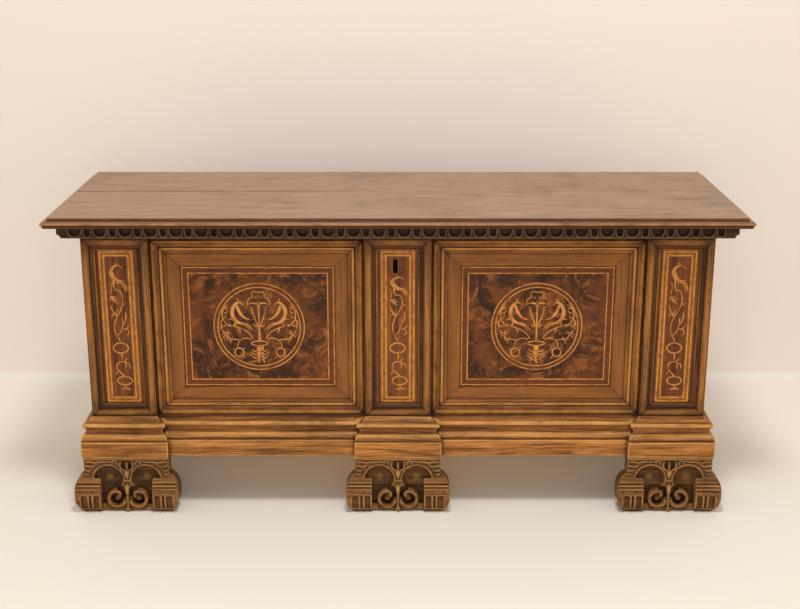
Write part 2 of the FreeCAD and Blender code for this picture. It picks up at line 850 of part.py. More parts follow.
# Feet
def foot_side(side):
    """Outline of a foot's side, from its shoulder out to the volute's swell and in to the toe."""
    beyond = f"{side}*(volute_half + overrun)"
    return [
        (f"{side}*foot_block_half", "foot_high + overrun", 0),
        (f"{side}*foot_block_half", "volute_shoulder", side * SHALLOW_SHARE),
        (f"{side}*volute_half", "volute_swell_high", side * SHALLOW_SHARE),
        (f"{side}*volute_toe_half", "0", 0),
        (f"{side}*volute_toe_half", "0 - overrun", 0),
        (beyond, "0 - overrun", 0),
        (beyond, "foot_high + overrun", 0),
    ]


FOOT_SECTION = [
    ("foot_back", "0", 0),
    ("face - volute_toe_out", "0", SHALLOW_SHARE),
    ("face - volute_out", "volute_swell_high - volute_step_high", 0),
    ("face - volute_out", "volute_swell_high", 0),
    ("face - volute_out + volute_step", "volute_swell_high", QUARTER_SHARE),
    ("face - volute_out + volute_step", "volute_swell_high + volute_step_high", 0),
    ("face - volute_out + volute_step*2", "volute_swell_high + volute_step_high", QUARTER_SHARE),
    ("face - volute_out + volute_step*2", "volute_swell_high + volute_step_high*2", 0),
    ("foot_front", "volute_swell_high + volute_step_high*3", 0),
    ("foot_front", "foot_high", 0),
    ("foot_back", "foot_high", 0),
]
SCROLL_TURN = 270
# Flutes in the face of a volute: where they stand between its sides, and how wide they are
FLUTE_SHARES = [(0.17, "flute_wide"), (0.41, "flute_slit"), (0.65, "flute_wide")]


def carved_foot(label, centre):
    body = keep(new_body(label, (centre, "0", "0")))
    add(body, "YZ", [FOOT_SECTION], "0 - volute_half", "volute_half")
    for side in (-1, 1):
        cut(body, "XZ", [foot_side(side)], "face - volute_out - overrun", "foot_back + overrun")

    # Behind its carved front the foot is a plain, narrower block
    for side in (-1, 1):
        outer = f"{side}*(volute_half + overrun)"
        beside = box(f"{side}*foot_rear_half", "0 - overrun", outer, "foot_high + overrun")
        cut(body, "XZ", [beside], "foot_front + foot_carved_deep", "foot_back + overrun")

    # The carved front between the volutes lies back, and its lower part is hollowed
    middle = box("0 - foot_carving_half", "0 - overrun", "foot_carving_half", "foot_high + overrun")
    cut(body, "XZ", [middle], "face - volute_out - overrun", "foot_front")
    low = box("0 - foot_carving_half", "0 - overrun", "foot_carving_half", "dish_centre_high - dish_round/2")
    cut(body, "XZ", [low], "foot_front - overrun", "hollow")

    # Dishes, each with a boss in its middle
    for side in (-1, 1):
        half = [
            ("foot_front - overrun", "0", 0),
            ("foot_front - overrun", "dish_round", 0),
            ("foot_front", "dish_round", 0),
            ("foot_front + dish_sunk*3/4", "dish_round*3/4", 0),
            ("foot_front + dish_sunk", "boss_round", 0),
            ("foot_front + dish_sunk - boss_round", "0", 0),
        ]
        shift = ("0", "dish_centre_high")
        turned(body, "YZ", [half], f"{side}*dish_across", shift, cutting=True)

    # A round flower socket over the stem
    flower = [ring("0", "flower_centre_high", "flower_round")]
    cut(body, "XZ", flower, "foot_front - overrun", "foot_front + flower_sunk")

    # Stem with its collar between the two scrolls
    stem = [
        ("0 - stem_flare/2", "0", -QUARTER_SHARE),
        ("0 - stem_wide/2", "stem_flare/2", 0),
        ("0 - stem_wide/2", "stem_high", 0),
        ("stem_wide/2", "stem_high", 0),
        ("stem_wide/2", "stem_flare/2", -QUARTER_SHARE),
        ("stem_flare/2", "0", 0),
    ]
    add(body, "XZ", [stem], "hollow", "scroll_front")
    collar = box("0 - collar_wide/2", "stem_high", "collar_wide/2", "stem_high + collar_high")
    add(body, "XZ", [collar], "hollow", "scroll_front")
    for side in (-1, 1):
        ridge = [
            ("hollow + overrun", "scroll_round + scroll_thick", 0),
            ("scroll_front + scroll_thick", "scroll_round + scroll_thick", 0),
            ("scroll_front", "scroll_round + scroll_thick/3", 0),
            ("scroll_front", "scroll_round - scroll_thick/3", 0),
            ("scroll_front + scroll_thick", "scroll_round - scroll_thick", 0),
            ("hollow + overrun", "scroll_round - scroll_thick", 0),
        ]
        shift = ("0", "scroll_centre_high")
        turned(body, "YZ", [ridge], f"{side}*scroll_across", shift, angle=SCROLL_TURN, backward=side < 0)

    # Upright flutes in the face of each volute
    for side in (-1, 1):
        for share, wide in FLUTE_SHARES:
            across = f"{side}*(foot_carving_half + (volute_half - foot_carving_half)*{share})"
            flute = [
                (f"{across} - {wide}/2", "flute_low", 0),
                (f"{across} - {wide}/2", f"flute_low + flute_high - {wide}/4", 0),
                (f"{across} - {wide}/4", "flute_low + flute_high", 0),
                (f"{across} + {wide}/4", "flute_low + flute_high", 0),
                (f"{across} + {wide}/2", f"flute_low + flute_high - {wide}/4", 0),
                (f"{across} + {wide}/2", "flute_low", 0),
            ]
            cut(body, "XZ", [flute], "face - volute_out - overrun", "face - volute_out + flute_sunk")
    return body


for name, side in PILASTERS:
    carved_foot(f"{name}_front_foot", f"{side}*foot_centre")

for name, side in BAYS:
    foot = keep(new_body(f"{name}_rear_foot"))
    outer = f"{side}*(end_outside)"
    toe = f"{side}*(end_outside - rear_foot_toe_inset)"
    inner = f"{side}*(end_outside - rear_foot_wide)"
    inner_toe = f"{side}*(end_outside - rear_foot_wide + rear_foot_toe_inset)"
    outline = [
        (toe, "0", side * SHALLOW_SHARE),
        (outer, "foot_high", 0),
        (inner, "foot_high", side * SHALLOW_SHARE),
        (inner_toe, "0", 0),
    ]
    add(foot, "XZ", [outline], "back", "back - rear_foot_deep")

# Lid: two planks, nosed at the front and at both ends
LID_ENDS = "(lid_half + overrun)"


def lid_end_region(side):
    """What lies beyond the nosed end of the lid."""
    profile = moulded(LID_PROFILE, f"{side}*lid_half", side, "lid_under")
    first = (profile[0][0], "lid_under - overrun", 0)
    last = (profile[-1][0], "whole_high + overrun", 0)
    beyond = f"{side}*{LID_ENDS}"
    return [first, *profile, last, (beyond, "whole_high + overrun", 0), (beyond, "lid_under - overrun", 0)]


lid_front = keep(new_body("lid_front_plank"))
nosing = moulded(LID_PROFILE, "nose", -1, "lid_under")
section = [("lid_seam", "lid_under", 0), *nosing, ("lid_seam", "whole_high", 0)]
add(lid_front, "YZ", [section], "0 - lid_half", "lid_half")
lid_rear = keep(new_body("lid_rear_plank"))
add(lid_rear, "YZ", [box("lid_seam", "lid_under", "back", "whole_high")], "0 - lid_half", "lid_half")
for plank in (lid_front, lid_rear):
    for side in (-1, 1):
        cut(plank, "XZ", [lid_end_region(side)], "nose - overrun", "back + overrun")

staple_half = "staple_plate_wide/2"
staple_seat = box(
    f"lock_across - {staple_half} - strap_gap",
    "staple_deep - staple_plate_deep/2 - strap_gap",
    f"lock_across + {staple_half} + strap_gap",
    "staple_deep + staple_plate_deep/2 + strap_gap",
)
cut(lid_front, "XY", [staple_seat], "lid_under - overrun", "lid_under + staple_plate_thick")


def strap_outline(centre, gap):
    """A strap under the lid: full width at the back, drawn in towards a rounded tip."""
    wide = f"(leaf_wide/2 + {gap})"
    tip = f"(strap_tip_wide/2 + {gap})"
    return [
        (f"{centre} - {wide}", f"back - {gap}", 0),
        (f"{centre} - {tip}", "strap_tip + strap_tip_wide/2", QUARTER_SHARE * -1),
        (centre, f"strap_tip - {gap}", QUARTER_SHARE * -1),
        (f"{centre} + {tip}", "strap_tip + strap_tip_wide/2", 0),
        (f"{centre} + {wide}", f"back - {gap}", 0),
    ]


STRAP_NAIL_ROWS = ["back - strap_nail_inset", "back - strap_long/2", "strap_tip + nail_inset"]
STRAP_NAILS = [(f"{side}*hinge_across", deep) for side in (-1, 1) for deep in STRAP_NAIL_ROWS]
for side in (-1, 1):
    centre = f"{side}*hinge_across"
    seat = [
        (f"{centre} - leaf_wide/2 - strap_gap", "back + overrun", 0),
        *strap_outline(centre, "strap_gap"),
        (f"{centre} + leaf_wide/2 + strap_gap", "back + overrun", 0),
    ]
    cut(lid_rear, "XY", [seat], "lid_under - overrun", "lid_under + leaf_thick")
nail_seats(lid_rear, "XY", STRAP_NAILS, "lid_under - overrun", f"lid_under + {NAIL_REACH}")

cleats = []
for side in (-1, 1):
    cleat = new_body(f"lid_cleat_{'left' if side < 0 else 'right'}")
    low = f"{side}*lid_batten_apart/2 - lid_batten_wide/2"
    high = f"{side}*lid_batten_apart/2 + lid_batten_wide/2"
    outline = box(low, "wall_inside + lid_batten_gap", high, "back_inside - lid_batten_gap")
    add(cleat, "XY", [outline], "lid_under", "lid_under - lid_batten_thick")
    cleats.append(cleat)
group("lid_battens", cleats)


# Carved strip under the lid
def cup(across, wide, low):
    """A cup open at the top, with its lower corners pared off."""
    return [
        (f"{across} - {wide}/2", "lid_under + overrun", 0),
        (f"{across} + {wide}/2", "lid_under + overrun", 0),
        (f"{across} + {wide}/2", f"{low} + {wide}/4", 0),
        (f"{across} + {wide}/4", low, 0),
        (f"{across} - {wide}/4", low, 0),
        (f"{across} - {wide}/2", f"{low} + {wide}/4", 0),
    ]


def cup_row(body, plane, start, front, count):
    """Wide and narrow cups in turn along a strip."""
    low = "strip_low + strip_high - cup_high"
    inside = f"{front[0]} + ({front[1]})*cup_sunk"
    outside = f"{front[0]} - ({front[1]})*overrun"
    axis = plane[0]
    for across, wide in ((start, "cup_wide"), (f"{start} + cup_pitch/2", "cup_narrow")):
        first = cut(body, plane, [cup(across, wide, low)], outside, inside)
        repeat(body, first, axis, "cup_pitch", count)


strip_front = "nose + strip_inset"
strip_back = f"{strip_front} + strip_thick"
strip = keep(new_body("front_carved_strip"))
strip_outline = [
    ("0 - strip_half", "lid_under", 0),
    ("strip_half", "lid_under", 0),
    ("strip_half", "strip_low + strip_corner", -QUARTER_SHARE),
    ("strip_half - strip_corner", "strip_low", 0),
    ("0 - strip_half + strip_corner", "strip_low", -QUARTER_SHARE),
    ("0 - strip_half", "strip_low + strip_corner", 0),
]
add(strip, "XZ", [strip_outline], strip_back, strip_front)
cup_count = "floor((2*strip_half - cup_wide)/cup_pitch)"
first_cup = f"0 - ({cup_count} - 1/2)*cup_pitch/2"
cup_row(strip, "XZ", first_cup, (strip_front, 1), cup_count)

for name, side in BAYS:
    strip = keep(new_body(f"{name}_carved_strip"))
    rear = "back - strip_rear_inset"
    outer = f"{side}*strip_half"
    inner = f"{side}*(strip_half - strip_thick)"
    add(strip, "YZ", [box(strip_back, "strip_low", rear, "lid_under")], inner, outer)
    side_count = f"floor(({rear} - ({strip_back}))/cup_pitch)"
    side_first = f"{strip_back} + cup_pitch/2"
    cup_row(strip, "YZ", side_first, (outer, -side), side_count)

# Hinges: the leaf stands on the back of the case, the strap is let in under the lid
KNUCKLE = ring("knuckle_deep", "knuckle_up", "knuckle_round")
PIN_HOLE = ring("knuckle_deep", "knuckle_up", "hinge_pin_round + hinge_pin_gap")

for name, side in BAYS:
    centre = f"{side}*hinge_across"
    left = f"{centre} - leaf_wide/2"
    right = f"{centre} + leaf_wide/2"
    middle_low = f"{centre} - middle_knuckle/2"
    middle_high = f"{centre} + middle_knuckle/2"

    leaf = keep(new_body(f"{name}_hinge_leaf"))
    add(leaf, "YZ", [box("back", "leaf_low", "back + leaf_thick", "knuckle_up")], left, right)
    add(leaf, "YZ", [KNUCKLE], left, right)
    cut(leaf, "YZ", [PIN_HOLE], f"{left} - overrun", f"{right} + overrun")
    gap = box("back", "knuckle_up - knuckle_wide", "back + knuckle_wide + overrun", "lid_under + overrun")
    cut(leaf, "YZ", [gap], f"{middle_low} - knuckle_gap", f"{middle_high} + knuckle_gap")
    rows = [(centre, up) for up in LEAF_NAIL_ROWS]
    nail_seats(leaf, "XZ", rows, "back + leaf_thick + overrun", "back - overrun")

    strap = keep(new_body(f"{name}_hinge_strap"))
    add(strap, "XY", [strap_outline(centre, "0")], "lid_under", "lid_under + leaf_thick")
    neck = box(middle_low, "back - overrun", middle_high, "knuckle_deep")
    add(strap, "XY", [neck], "lid_under", "lid_under + leaf_thick")
    add(strap, "YZ", [KNUCKLE], middle_low, middle_high)
    cut(strap, "YZ", [PIN_HOLE], f"{middle_low} - overrun", f"{middle_high} + overrun")
    rows = [(centre, deep) for deep in STRAP_NAIL_ROWS]
    nail_seats(strap, "XY", rows, "lid_under - overrun", "lid_under + leaf_thick + overrun")

    pin = new_body(f"{name}_hinge_pin")
    shank = [ring("knuckle_deep", "knuckle_up", "hinge_pin_round")]
    add(pin, "YZ", shank, f"{left} - hinge_pin_head_long", f"{right} + hinge_pin_head_long")
    head = [ring("knuckle_deep", "knuckle_up", "hinge_pin_head")]
    add(pin, "YZ", head, f"{right} + knuckle_gap", f"{right} + knuckle_gap + hinge_pin_head_long")
    keep(pin)

# Nails
case_nails = []
for number, (across, up) in enumerate(LEAF_NAILS):
    at = (across, "back + leaf_thick", up)
    case_nails.append(nail(f"leaf_nail_{number}", at))
for number, (across, up) in enumerate(LOCK_NAILS):
    at = (across, "lock_plate_back", up)
    case_nails.append(nail(f"lock_nail_{number}", at))
group("case_nails", case_nails)
lid_nails = []
for number, (across, deep) in enumerate(STRAP_NAILS):
    lid_nails.append(nail(f"strap_nail_{number}", (across, deep, "lid_under"), (1, 0, 0), -90))
group("lid_nails", lid_nails)

# Lock: the staple under the lid drops into the case, and the bolt slides through its eye
plate = keep(new_body("lock_plate"))
plate_half = "lock_plate_wide/2"
plate_loop = box(
    f"lock_across - {plate_half}", "lock_plate_low", f"lock_across + {plate_half}", "lock_plate_top"
)
add(plate, "XZ", [plate_loop], "wall_inside", "lock_plate_back")
cut(plate, "XZ", [keyhole()], "wall_inside - overrun", "lock_plate_back + overrun")
nail_seats(plate, "XZ", LOCK_NAILS, "wall_inside - overrun", "lock_plate_back + overrun")
keeper_back = "staple_deep + bolt_thick/2 + bolt_gap + keeper_wall"
for start in ("keeper_first", "keeper_second"):
    low = f"bolt_tip + {start}"
    high = f"bolt_tip + {start} + keeper_wide"
    outer = "(bolt_high/2 + bolt_gap + keeper_wall)"
    block = box("lock_plate_back", f"bolt_up - {outer}", keeper_back, f"bolt_up + {outer}")
    add(plate, "YZ", [block], low, high)
    slot_wide = "(bolt_thick/2 + bolt_gap)"
    slot_high = "(bolt_high/2 + bolt_gap)"
    slot = box(
        f"staple_deep - {slot_wide}",
        f"bolt_up - {slot_high}",
        f"staple_deep + {slot_wide}",
        f"bolt_up + {slot_high}",
    )
    cut(plate, "YZ", [slot], f"{low} - overrun/2", f"{high} + overrun/2")

cover = keep(new_body("lock_case"))
cover_half = "lock_case_wide/2"
outer_loop = box(
    f"lock_across - {cover_half}", "lock_case_low", f"lock_across + {cover_half}", "lock_plate_top"
)
inner_loop = box(
    f"lock_across - {cover_half} + lock_sheet",
    "lock_case_low + lock_sheet",
    f"lock_across + {cover_half} - lock_sheet",
    "lock_plate_top - lock_sheet",
)
add(cover, "XZ", [outer_loop], "lock_plate_back", "lock_case_back")
cut(cover, "XZ", [inner_loop], "lock_plate_back - overrun", "lock_case_back - lock_sheet")
slot_half = "(staple_thick/2 + staple_slot_gap)"
slot_deep = "(staple_wide/2 + staple_slot_gap)"
staple_slot = box(
    f"lock_across - {slot_half}",
    f"staple_deep - {slot_deep}",
    f"lock_across + {slot_half}",
    f"staple_deep + {slot_deep}",
)
cut(cover, "XY", [staple_slot], "lock_plate_top + overrun", "lock_plate_top - lock_sheet - overrun")

staple = keep(new_body("lid_staple"))
seat = box(
    f"lock_across - {staple_half}",
    "staple_deep - staple_plate_deep/2",
    f"lock_across + {staple_half}",
    "staple_deep + staple_plate_deep/2",
)
add(staple, "XY", [seat], "lid_under", "lid_under + staple_plate_thick")
loop = [
    ("staple_deep - staple_wide/2", "lid_under + staple_plate_thick/2", 0),
    ("staple_deep + staple_wide/2", "lid_under + staple_plate_thick/2", 0),
    ("staple_deep + staple_wide/2", "staple_low + staple_toe", -QUARTER_SHARE),
    ("staple_deep + staple_wide/2 - staple_toe", "staple_low", 0),
    ("staple_deep - staple_wide/2 + staple_toe", "staple_low", -QUARTER_SHARE),
    ("staple_deep - staple_wide/2", "staple_low + staple_toe", 0),
]
add(staple, "YZ", [loop], "lock_across - staple_thick/2", "lock_across + staple_thick/2")
eye_half = "staple_eye_wide/2"
eye = box(f"staple_deep - {eye_half}", "eye_low", f"staple_deep + {eye_half}", "eye_low + staple_eye_high")
cut(staple, "YZ", [eye], "lock_across - staple_thick/2 - overrun", "lock_across + staple_thick/2 + overrun")

bolt = keep(new_body("lock_bolt"))
bolt_back = "staple_deep + bolt_thick/2"
bolt_front = "staple_deep - bolt_thick/2"
bar = box("bolt_tip", "bolt_up - bolt_high/2", "bolt_tip + bolt_long", "bolt_up + bolt_high/2")
add(bolt, "XZ", [bar], bolt_back, bolt_front)
tail_left = "bolt_tip + bolt_tail_start"
tail_right = f"{tail_left} + bolt_tail_wide"
tail_low = "bolt_up - bolt_tail_drop"
tail = [
    (tail_left, "bolt_up", 0),
    (tail_right, "bolt_up", 0),
    (tail_right, tail_low, 0),
    (tail_left, tail_low, 0),
    (tail_left, f"{tail_low} + bolt_notch", 0),
    (f"{tail_left} + bolt_notch", f"{tail_low} + bolt_notch*2", 0),
    (tail_left, f"{tail_low} + bolt_notch*3", 0),
]
add(bolt, "XZ", [tail], bolt_back, bolt_front)

spring = keep(new_body("lock_spring"))
spring_low = "bolt_up + bolt_high/2 + spring_gap"
spring_left = "bolt_tip + keeper_first + keeper_wide + spring_gap"
strip_loop = box(spring_left, spring_low, f"{spring_left} + spring_long", f"{spring_low} + spring_thick")
add(spring, "XZ", [strip_loop], bolt_back, "lock_plate_back")

key_pin = keep(new_body("lock_key_pin"))
pin_loop = [ring("lock_across", "keyhole_top - key_pin_drop", "key_pin_round")]
add(key_pin, "XZ", pin_loop, "lock_case_back - lock_sheet", "lock_plate_back + key_pin_gap")

doc.recompute()

faults = [item.Label for item in doc.Objects if {"Invalid", "Error"} & set(item.State)]
faults += [item.Label for item in nodes if item.Shape.isNull() or not item.Shape.isValid()]
if faults:
    raise RuntimeError(f"these did not build: {faults}")

os.makedirs("parts", exist_ok=True)
for item in nodes:
    item.Shape.exportStep(os.path.join("parts", f"{item.Label}.step"))
print(len(nodes), "nodes")
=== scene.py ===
import math

import bmesh
import bpy
from bpy.props import FloatProperty, FloatVectorProperty, PointerProperty
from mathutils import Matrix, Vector


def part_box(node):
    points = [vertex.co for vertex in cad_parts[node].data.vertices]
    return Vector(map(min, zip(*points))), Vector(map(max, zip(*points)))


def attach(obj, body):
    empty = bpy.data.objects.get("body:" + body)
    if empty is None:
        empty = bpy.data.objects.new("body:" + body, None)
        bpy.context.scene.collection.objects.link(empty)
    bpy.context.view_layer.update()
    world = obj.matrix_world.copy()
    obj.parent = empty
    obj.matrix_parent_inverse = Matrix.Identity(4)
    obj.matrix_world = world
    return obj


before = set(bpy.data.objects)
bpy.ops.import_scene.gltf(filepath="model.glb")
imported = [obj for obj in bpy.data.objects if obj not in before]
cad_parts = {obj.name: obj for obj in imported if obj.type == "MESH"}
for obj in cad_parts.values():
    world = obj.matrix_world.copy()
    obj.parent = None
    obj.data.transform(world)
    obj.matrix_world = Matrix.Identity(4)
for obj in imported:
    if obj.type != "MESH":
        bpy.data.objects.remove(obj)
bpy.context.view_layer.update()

bl_info = {
    "name": "Inlaid cassone",
    "version": (1, 0, 0),
    "blender": (4, 5, 0),
    "location": "View3D > Sidebar > Cassone",
    "description": "Dresses the packed cassone: timbers, inlay, carving and the studio",
    "category": "Object",
}

MM = 0.001
SIDES = (("left", -1), ("right", 1))
PILASTERS = ("left", "centre", "right")


def tone(red, green, blue):
    """A colour as it is seen, 0 to 255, in the linear values that shaders take."""
    seen = (red / 255, green / 255, blue / 255)
    return tuple(c / 12.92 if c <= 0.04045 else ((c + 0.055) / 1.055) ** 2.4 for c in seen)


def colour(name, about, *seen):
    return FloatVectorProperty(
        name=name, description=about, subtype="COLOR", size=3, min=0, max=1, default=tone(*seen)
    )


def number(name, about, subtype, value, **limits):
    return FloatProperty(name=name, description=about, subtype=subtype, default=value, **limits)


def length(name, about, millimetres):
    return number(name, about, "DISTANCE", millimetres * MM, unit="LENGTH")


# Sizes and colours that a user may change

# Tones of each finish, from its light streaks to its rubbed edges, 0 to 255 as they are seen
# The rubbed-edge tone of each finish is also its painted highlight on profiled mouldings
SHADES = {
    "light": "Light streaks of", "middle": "Wood of", "dark": "Dark streaks of", "worn": "Rubbed edges of",
}
FINISH_TONES = {
    "frame": ("the mouldings", (176, 107, 47), (132, 76, 34), (64, 34, 16), (208, 143, 68)),
    "stile": ("the pilaster frames", (190, 120, 54), (146, 88, 39), (74, 42, 20), (196, 138, 68)),
    "field": ("the pilaster fields", (160, 94, 42), (122, 69, 31), (76, 42, 22), (160, 104, 54)),
    "base": ("the moulded base", (224, 158, 82), (186, 118, 56), (84, 46, 20), (230, 172, 98)),
    "ridge": ("the carved ridges", (178, 124, 70), (150, 102, 55), (88, 56, 30), (190, 140, 84)),
    "foot": ("the carved feet", (176, 120, 64), (142, 95, 50), (86, 56, 31), (198, 148, 86)),
    "strip": ("the carved strip", (98, 61, 34), (70, 42, 22), (36, 21, 12), (110, 86, 64)),
    "rim": ("the carved rims", (116, 82, 54), (86, 57, 35), (50, 34, 23), (128, 94, 62)),
    "lid": ("the lid", (154, 102, 62), (120, 74, 44), (74, 42, 24), (188, 134, 90)),
    "plain": ("the plain boards", (140, 98, 62), (110, 72, 44), (74, 46, 28), (160, 118, 78)),
}


class TimberColours(bpy.types.PropertyGroup):
    frame_flat: colour("Frame, flat", "The flat inner part of the bay frames", 140, 87, 42)
    # Paler top of the lid: partly a painted reflection of the room, partly wood bleached by the light
    lid_sheen_and_fade: colour("Lid, faded", "Top of the lid where light has bleached it", 172, 142, 114)
    burr_light: colour("Burr, light", "Light clouds of the burr veneer", 150, 88, 38)
    burr_middle: colour("Burr, middle", "Burr veneer", 98, 54, 25)
    burr_dark: colour("Burr, dark", "Dark clouds of the burr veneer", 44, 27, 18)
    box_light: colour("Boxwood, light", "Light boxwood lines", 212, 142, 70)
    box_dark: colour("Boxwood, shaded", "Boxwood shaded with hot sand", 164, 98, 42)
    band_ochre: colour("Band, ochre", "Middle of the pilaster bands", 162, 98, 32)
    band_brown: colour("Band, brown", "Middle of the panel bands", 112, 60, 26)
    # This dirt colour is also the painted shade in the quirks of the pilaster frames
    grime_and_shade: colour("Grime", "Dirt in hollows", 26, 18, 12)
    iron: colour("Iron", "Forged iron", 52, 46, 42)
    rust: colour("Rust", "Rust on the iron", 92, 54, 32)


for finish, (about, *tones) in FINISH_TONES.items():
    for (shade, words), seen in zip(SHADES.items(), tones):
        held = colour(f"{finish.capitalize()}, {shade}", f"{words} {about}", *seen)
        TimberColours.__annotations__[f"{finish}_{shade}"] = held


class AgeSizes(bpy.types.PropertyGroup):
    edge_reach: length("Edge reach", "How far in from an edge the wear goes", 4.5)
    crevice_reach: length("Crevice reach", "How far out of a hollow the dirt goes", 9)
    wax: number("Wax", "How far the wax shines", "FACTOR", 0.04, min=0, max=1)


class InlaySizes(bpy.types.PropertyGroup):
    proud: length("Proud", "How far the boxwood stands out of its field", 0.3)
    let_in: length("Let in", "How deep the boxwood is let into its field", 0.6)
    fuller: length("Fuller", "How much is added to each strand's half width", 0.05)
    panel_line: length("Panel line", "Width of a light line in a panel's band", 2.4)
    panel_band: length("Panel band", "Width of a panel's straight band", 16.5)
    pilaster_line: length("Pilaster line", "Width of a light line in a pilaster's band", 3.4)
    pilaster_band: length("Pilaster band", "Width of a pilaster's band", 13)
    ring_round: length("Ring radius", "Outer radius of a panel's ring", 110)
    ring_wide: length("Ring width", "Width of a panel's ring", 12)
    ring_line: length("Ring line", "Width of a light line in a panel's ring", 2.4)
    seam: length("Seam", "Middle of the seam of the lid, behind the middle of the chest", 24)


class CarvingSizes(bpy.types.PropertyGroup):
    face_back: length("Carved face", "From the front of the volutes back to the carved face", 21)
    scroll_back: length("Scroll depth", "From the front of the volutes back to the crown of the scrolls", 14)
    dish_across: length("Dish across", "From the middle of a foot to a dish", 46)
    dish_up: length("Dish height", "Height of the dishes above the floor", 83)
    dish_round: length("Dish radius", "Radius of a dish", 38)
    scroll_across: length("Scroll across", "From the middle of a foot to a scroll", 26)
    scroll_up: length("Scroll height", "Height of the scrolls above the floor", 34)
    scroll_round: length("Scroll radius", "Radius of a scroll", 20.5)
    block_half: length("Block", "From the middle of a foot to the side of its block", 105)
    block_inner: length("Volute, inner", "From the middle of a foot to a volute's inner side", 64)
    block_outer: length("Volute, outer", "From the middle of a foot to a volute's outer side", 127)
    cup_pitch: length("Cup pitch", "From one wide cup of the strip to the next", 59)
    cup_wide: length("Wide cup", "Width of a wide cup", 28)
    cup_narrow: length("Narrow cup", "Width of a narrow cup", 15)
    cup_high: length("Cup height", "Height of a cup", 22)


class StudioSizes(bpy.types.PropertyGroup):
    lens: number("Lens", "Focal length on a 36 mm sensor", "DISTANCE_CAMERA", 59.4)
    camera_across: length("Camera across", "Camera's place to the right of the middle", 5)
    camera_away: length("Camera away", "Camera's distance in front of the middle", 3240)
    camera_up: length("Camera height", "Camera's height above the floor", 1445)
    camera_tilt: number("Tilt", "Camera's tilt below level", "ANGLE", math.radians(16.99))
    wall_back: length("Wall", "From the middle of the chest back to the wall", 710)
    cove: length("Cove", "Radius where the floor meets the wall", 20)
    wall: colour("Wall", "Pale wall", 247, 232, 219)
    floor: colour("Floor", "Pale floor", 250, 241, 227)
    sky: number("Room light", "Strength of the even light of the room", "NONE", 0.62)
    key: number("Key light", "Power of the lamp overhead", "POWER", 44)
    bounce: number("Bounce light", "Power of the light under the chest", "POWER", 0.2)
    fill: number("Fill light", "Power of the soft lamp in front", "POWER", 26)


# Shader graphs


class Graph:
    """A node tree and short ways to fill it. A value is a socket or a plain number or colour."""

    def __init__(self, tree):
        self.tree = tree

    def add(self, kind, **settings):
        node = self.tree.nodes.new(kind)
        for name, setting in settings.items():
            setattr(node, name, setting)
        return node

    def feed(self, socket, source):
        """Joins a socket to another, or sets it to a number, a vector or a colour."""
        if isinstance(source, bpy.types.NodeSocket):
            self.tree.links.new(source, socket)
        elif isinstance(source, (int, float)):
            socket.default_value = source
        else:
            held = len(socket.default_value)
            socket.default_value = (*source, 1)[:held]

    def fill(self, node, **inputs):
        for name, source in inputs.items():
            self.feed(node.inputs[name.replace("_", " ")], source)
        return node.outputs

    def noise(self, vector, scale, detail=3, rough=0.55, twist=0):
        node = self.add("ShaderNodeTexNoise")
        made = self.fill(node, Vector=vector, Scale=scale, Detail=detail, Roughness=rough, Distortion=twist)
        return made["Fac"]

    def cells(self, vector, scale):
        return self.fill(self.add("ShaderNodeTexVoronoi"), Vector=vector, Scale=scale)["Distance"]

    def math(self, kind, first, second=0.0, clamp=False):
        node = self.add("ShaderNodeMath", operation=kind, use_clamp=clamp)
        self.feed(node.inputs[0], first)
        self.feed(node.inputs[1], second)
        return node.outputs[0]

    def times(self, first, second, clamp=False):
        return self.math("MULTIPLY", first, second, clamp)

    def plus(self, first, second):
        return self.math("ADD", first, second)

    def less(self, first, second):
        return self.math("SUBTRACT", first, second)

    def vector(self, kind, first, second=(0, 0, 0)):
        node = self.add("ShaderNodeVectorMath", operation=kind)
        self.feed(node.inputs[0], first)
        self.feed(node.inputs[1], second)
        return node.outputs["Value" if kind in ("LENGTH", "DISTANCE", "DOT_PRODUCT") else "Vector"]

    def spread(self, value, low, high, first=0.0, last=1.0):
        """A value's range drawn out to another, smooth at both ends."""
        node = self.add("ShaderNodeMapRange", interpolation_type="SMOOTHSTEP")
        made = self.fill(node, Value=value, From_Min=low, From_Max=high, To_Min=first, To_Max=last)
        return made["Result"]

    def over(self, value, span, first=0.0, last=1.0):
        """The same over a span in millimetres."""
        return self.spread(value, span[0] * MM, span[1] * MM, first, last)

    def ramp(self, value, stops):
        """A value read off stops of place and value, 32 at most."""
        node = self.add("ShaderNodeValToRGB")
        self.feed(node.inputs[0], value)
        held = node.color_ramp.elements
        while len(held) < len(stops):
            held.new(0.5)
        for number, (place, shade) in enumerate(stops):
            held[number].position = place
            held[number].color = (shade, shade, shade, 1)
        return node.outputs["Color"]

    def mix(self, share, first, second, kind="MIX"):
        node = self.add("ShaderNodeMix", data_type="RGBA", blend_type=kind)
        self.feed(node.inputs[0], share)
        self.feed(node.inputs[6], first)
        self.feed(node.inputs[7], second)
        return node.outputs[2]

    def lay(self, under, over, value, low, high, share=1.0):
        """One colour over another, up to a share of it, as a value goes from low to high."""
        return self.mix(self.spread(value, low, high, 0, share), under, over)

    def stretched(self, place, scales, *settings):
        """Noise with a scale of its own along each axis."""
        return self.noise(self.vector("MULTIPLY", place, scales), 1, *settings)

    def split(self, vector):
        node = self.add("ShaderNodeSeparateXYZ")
        self.feed(node.inputs[0], vector)
        return node.outputs

    def join(self, across, deep, up):
        node = self.add("ShaderNodeCombineXYZ")
        for socket, source in zip(node.inputs, (across, deep, up)):
            self.feed(socket, source)
        return node.outputs[0]

    def use(self, group, **inputs):
        return self.fill(self.add("ShaderNodeGroup", node_tree=group), **inputs)


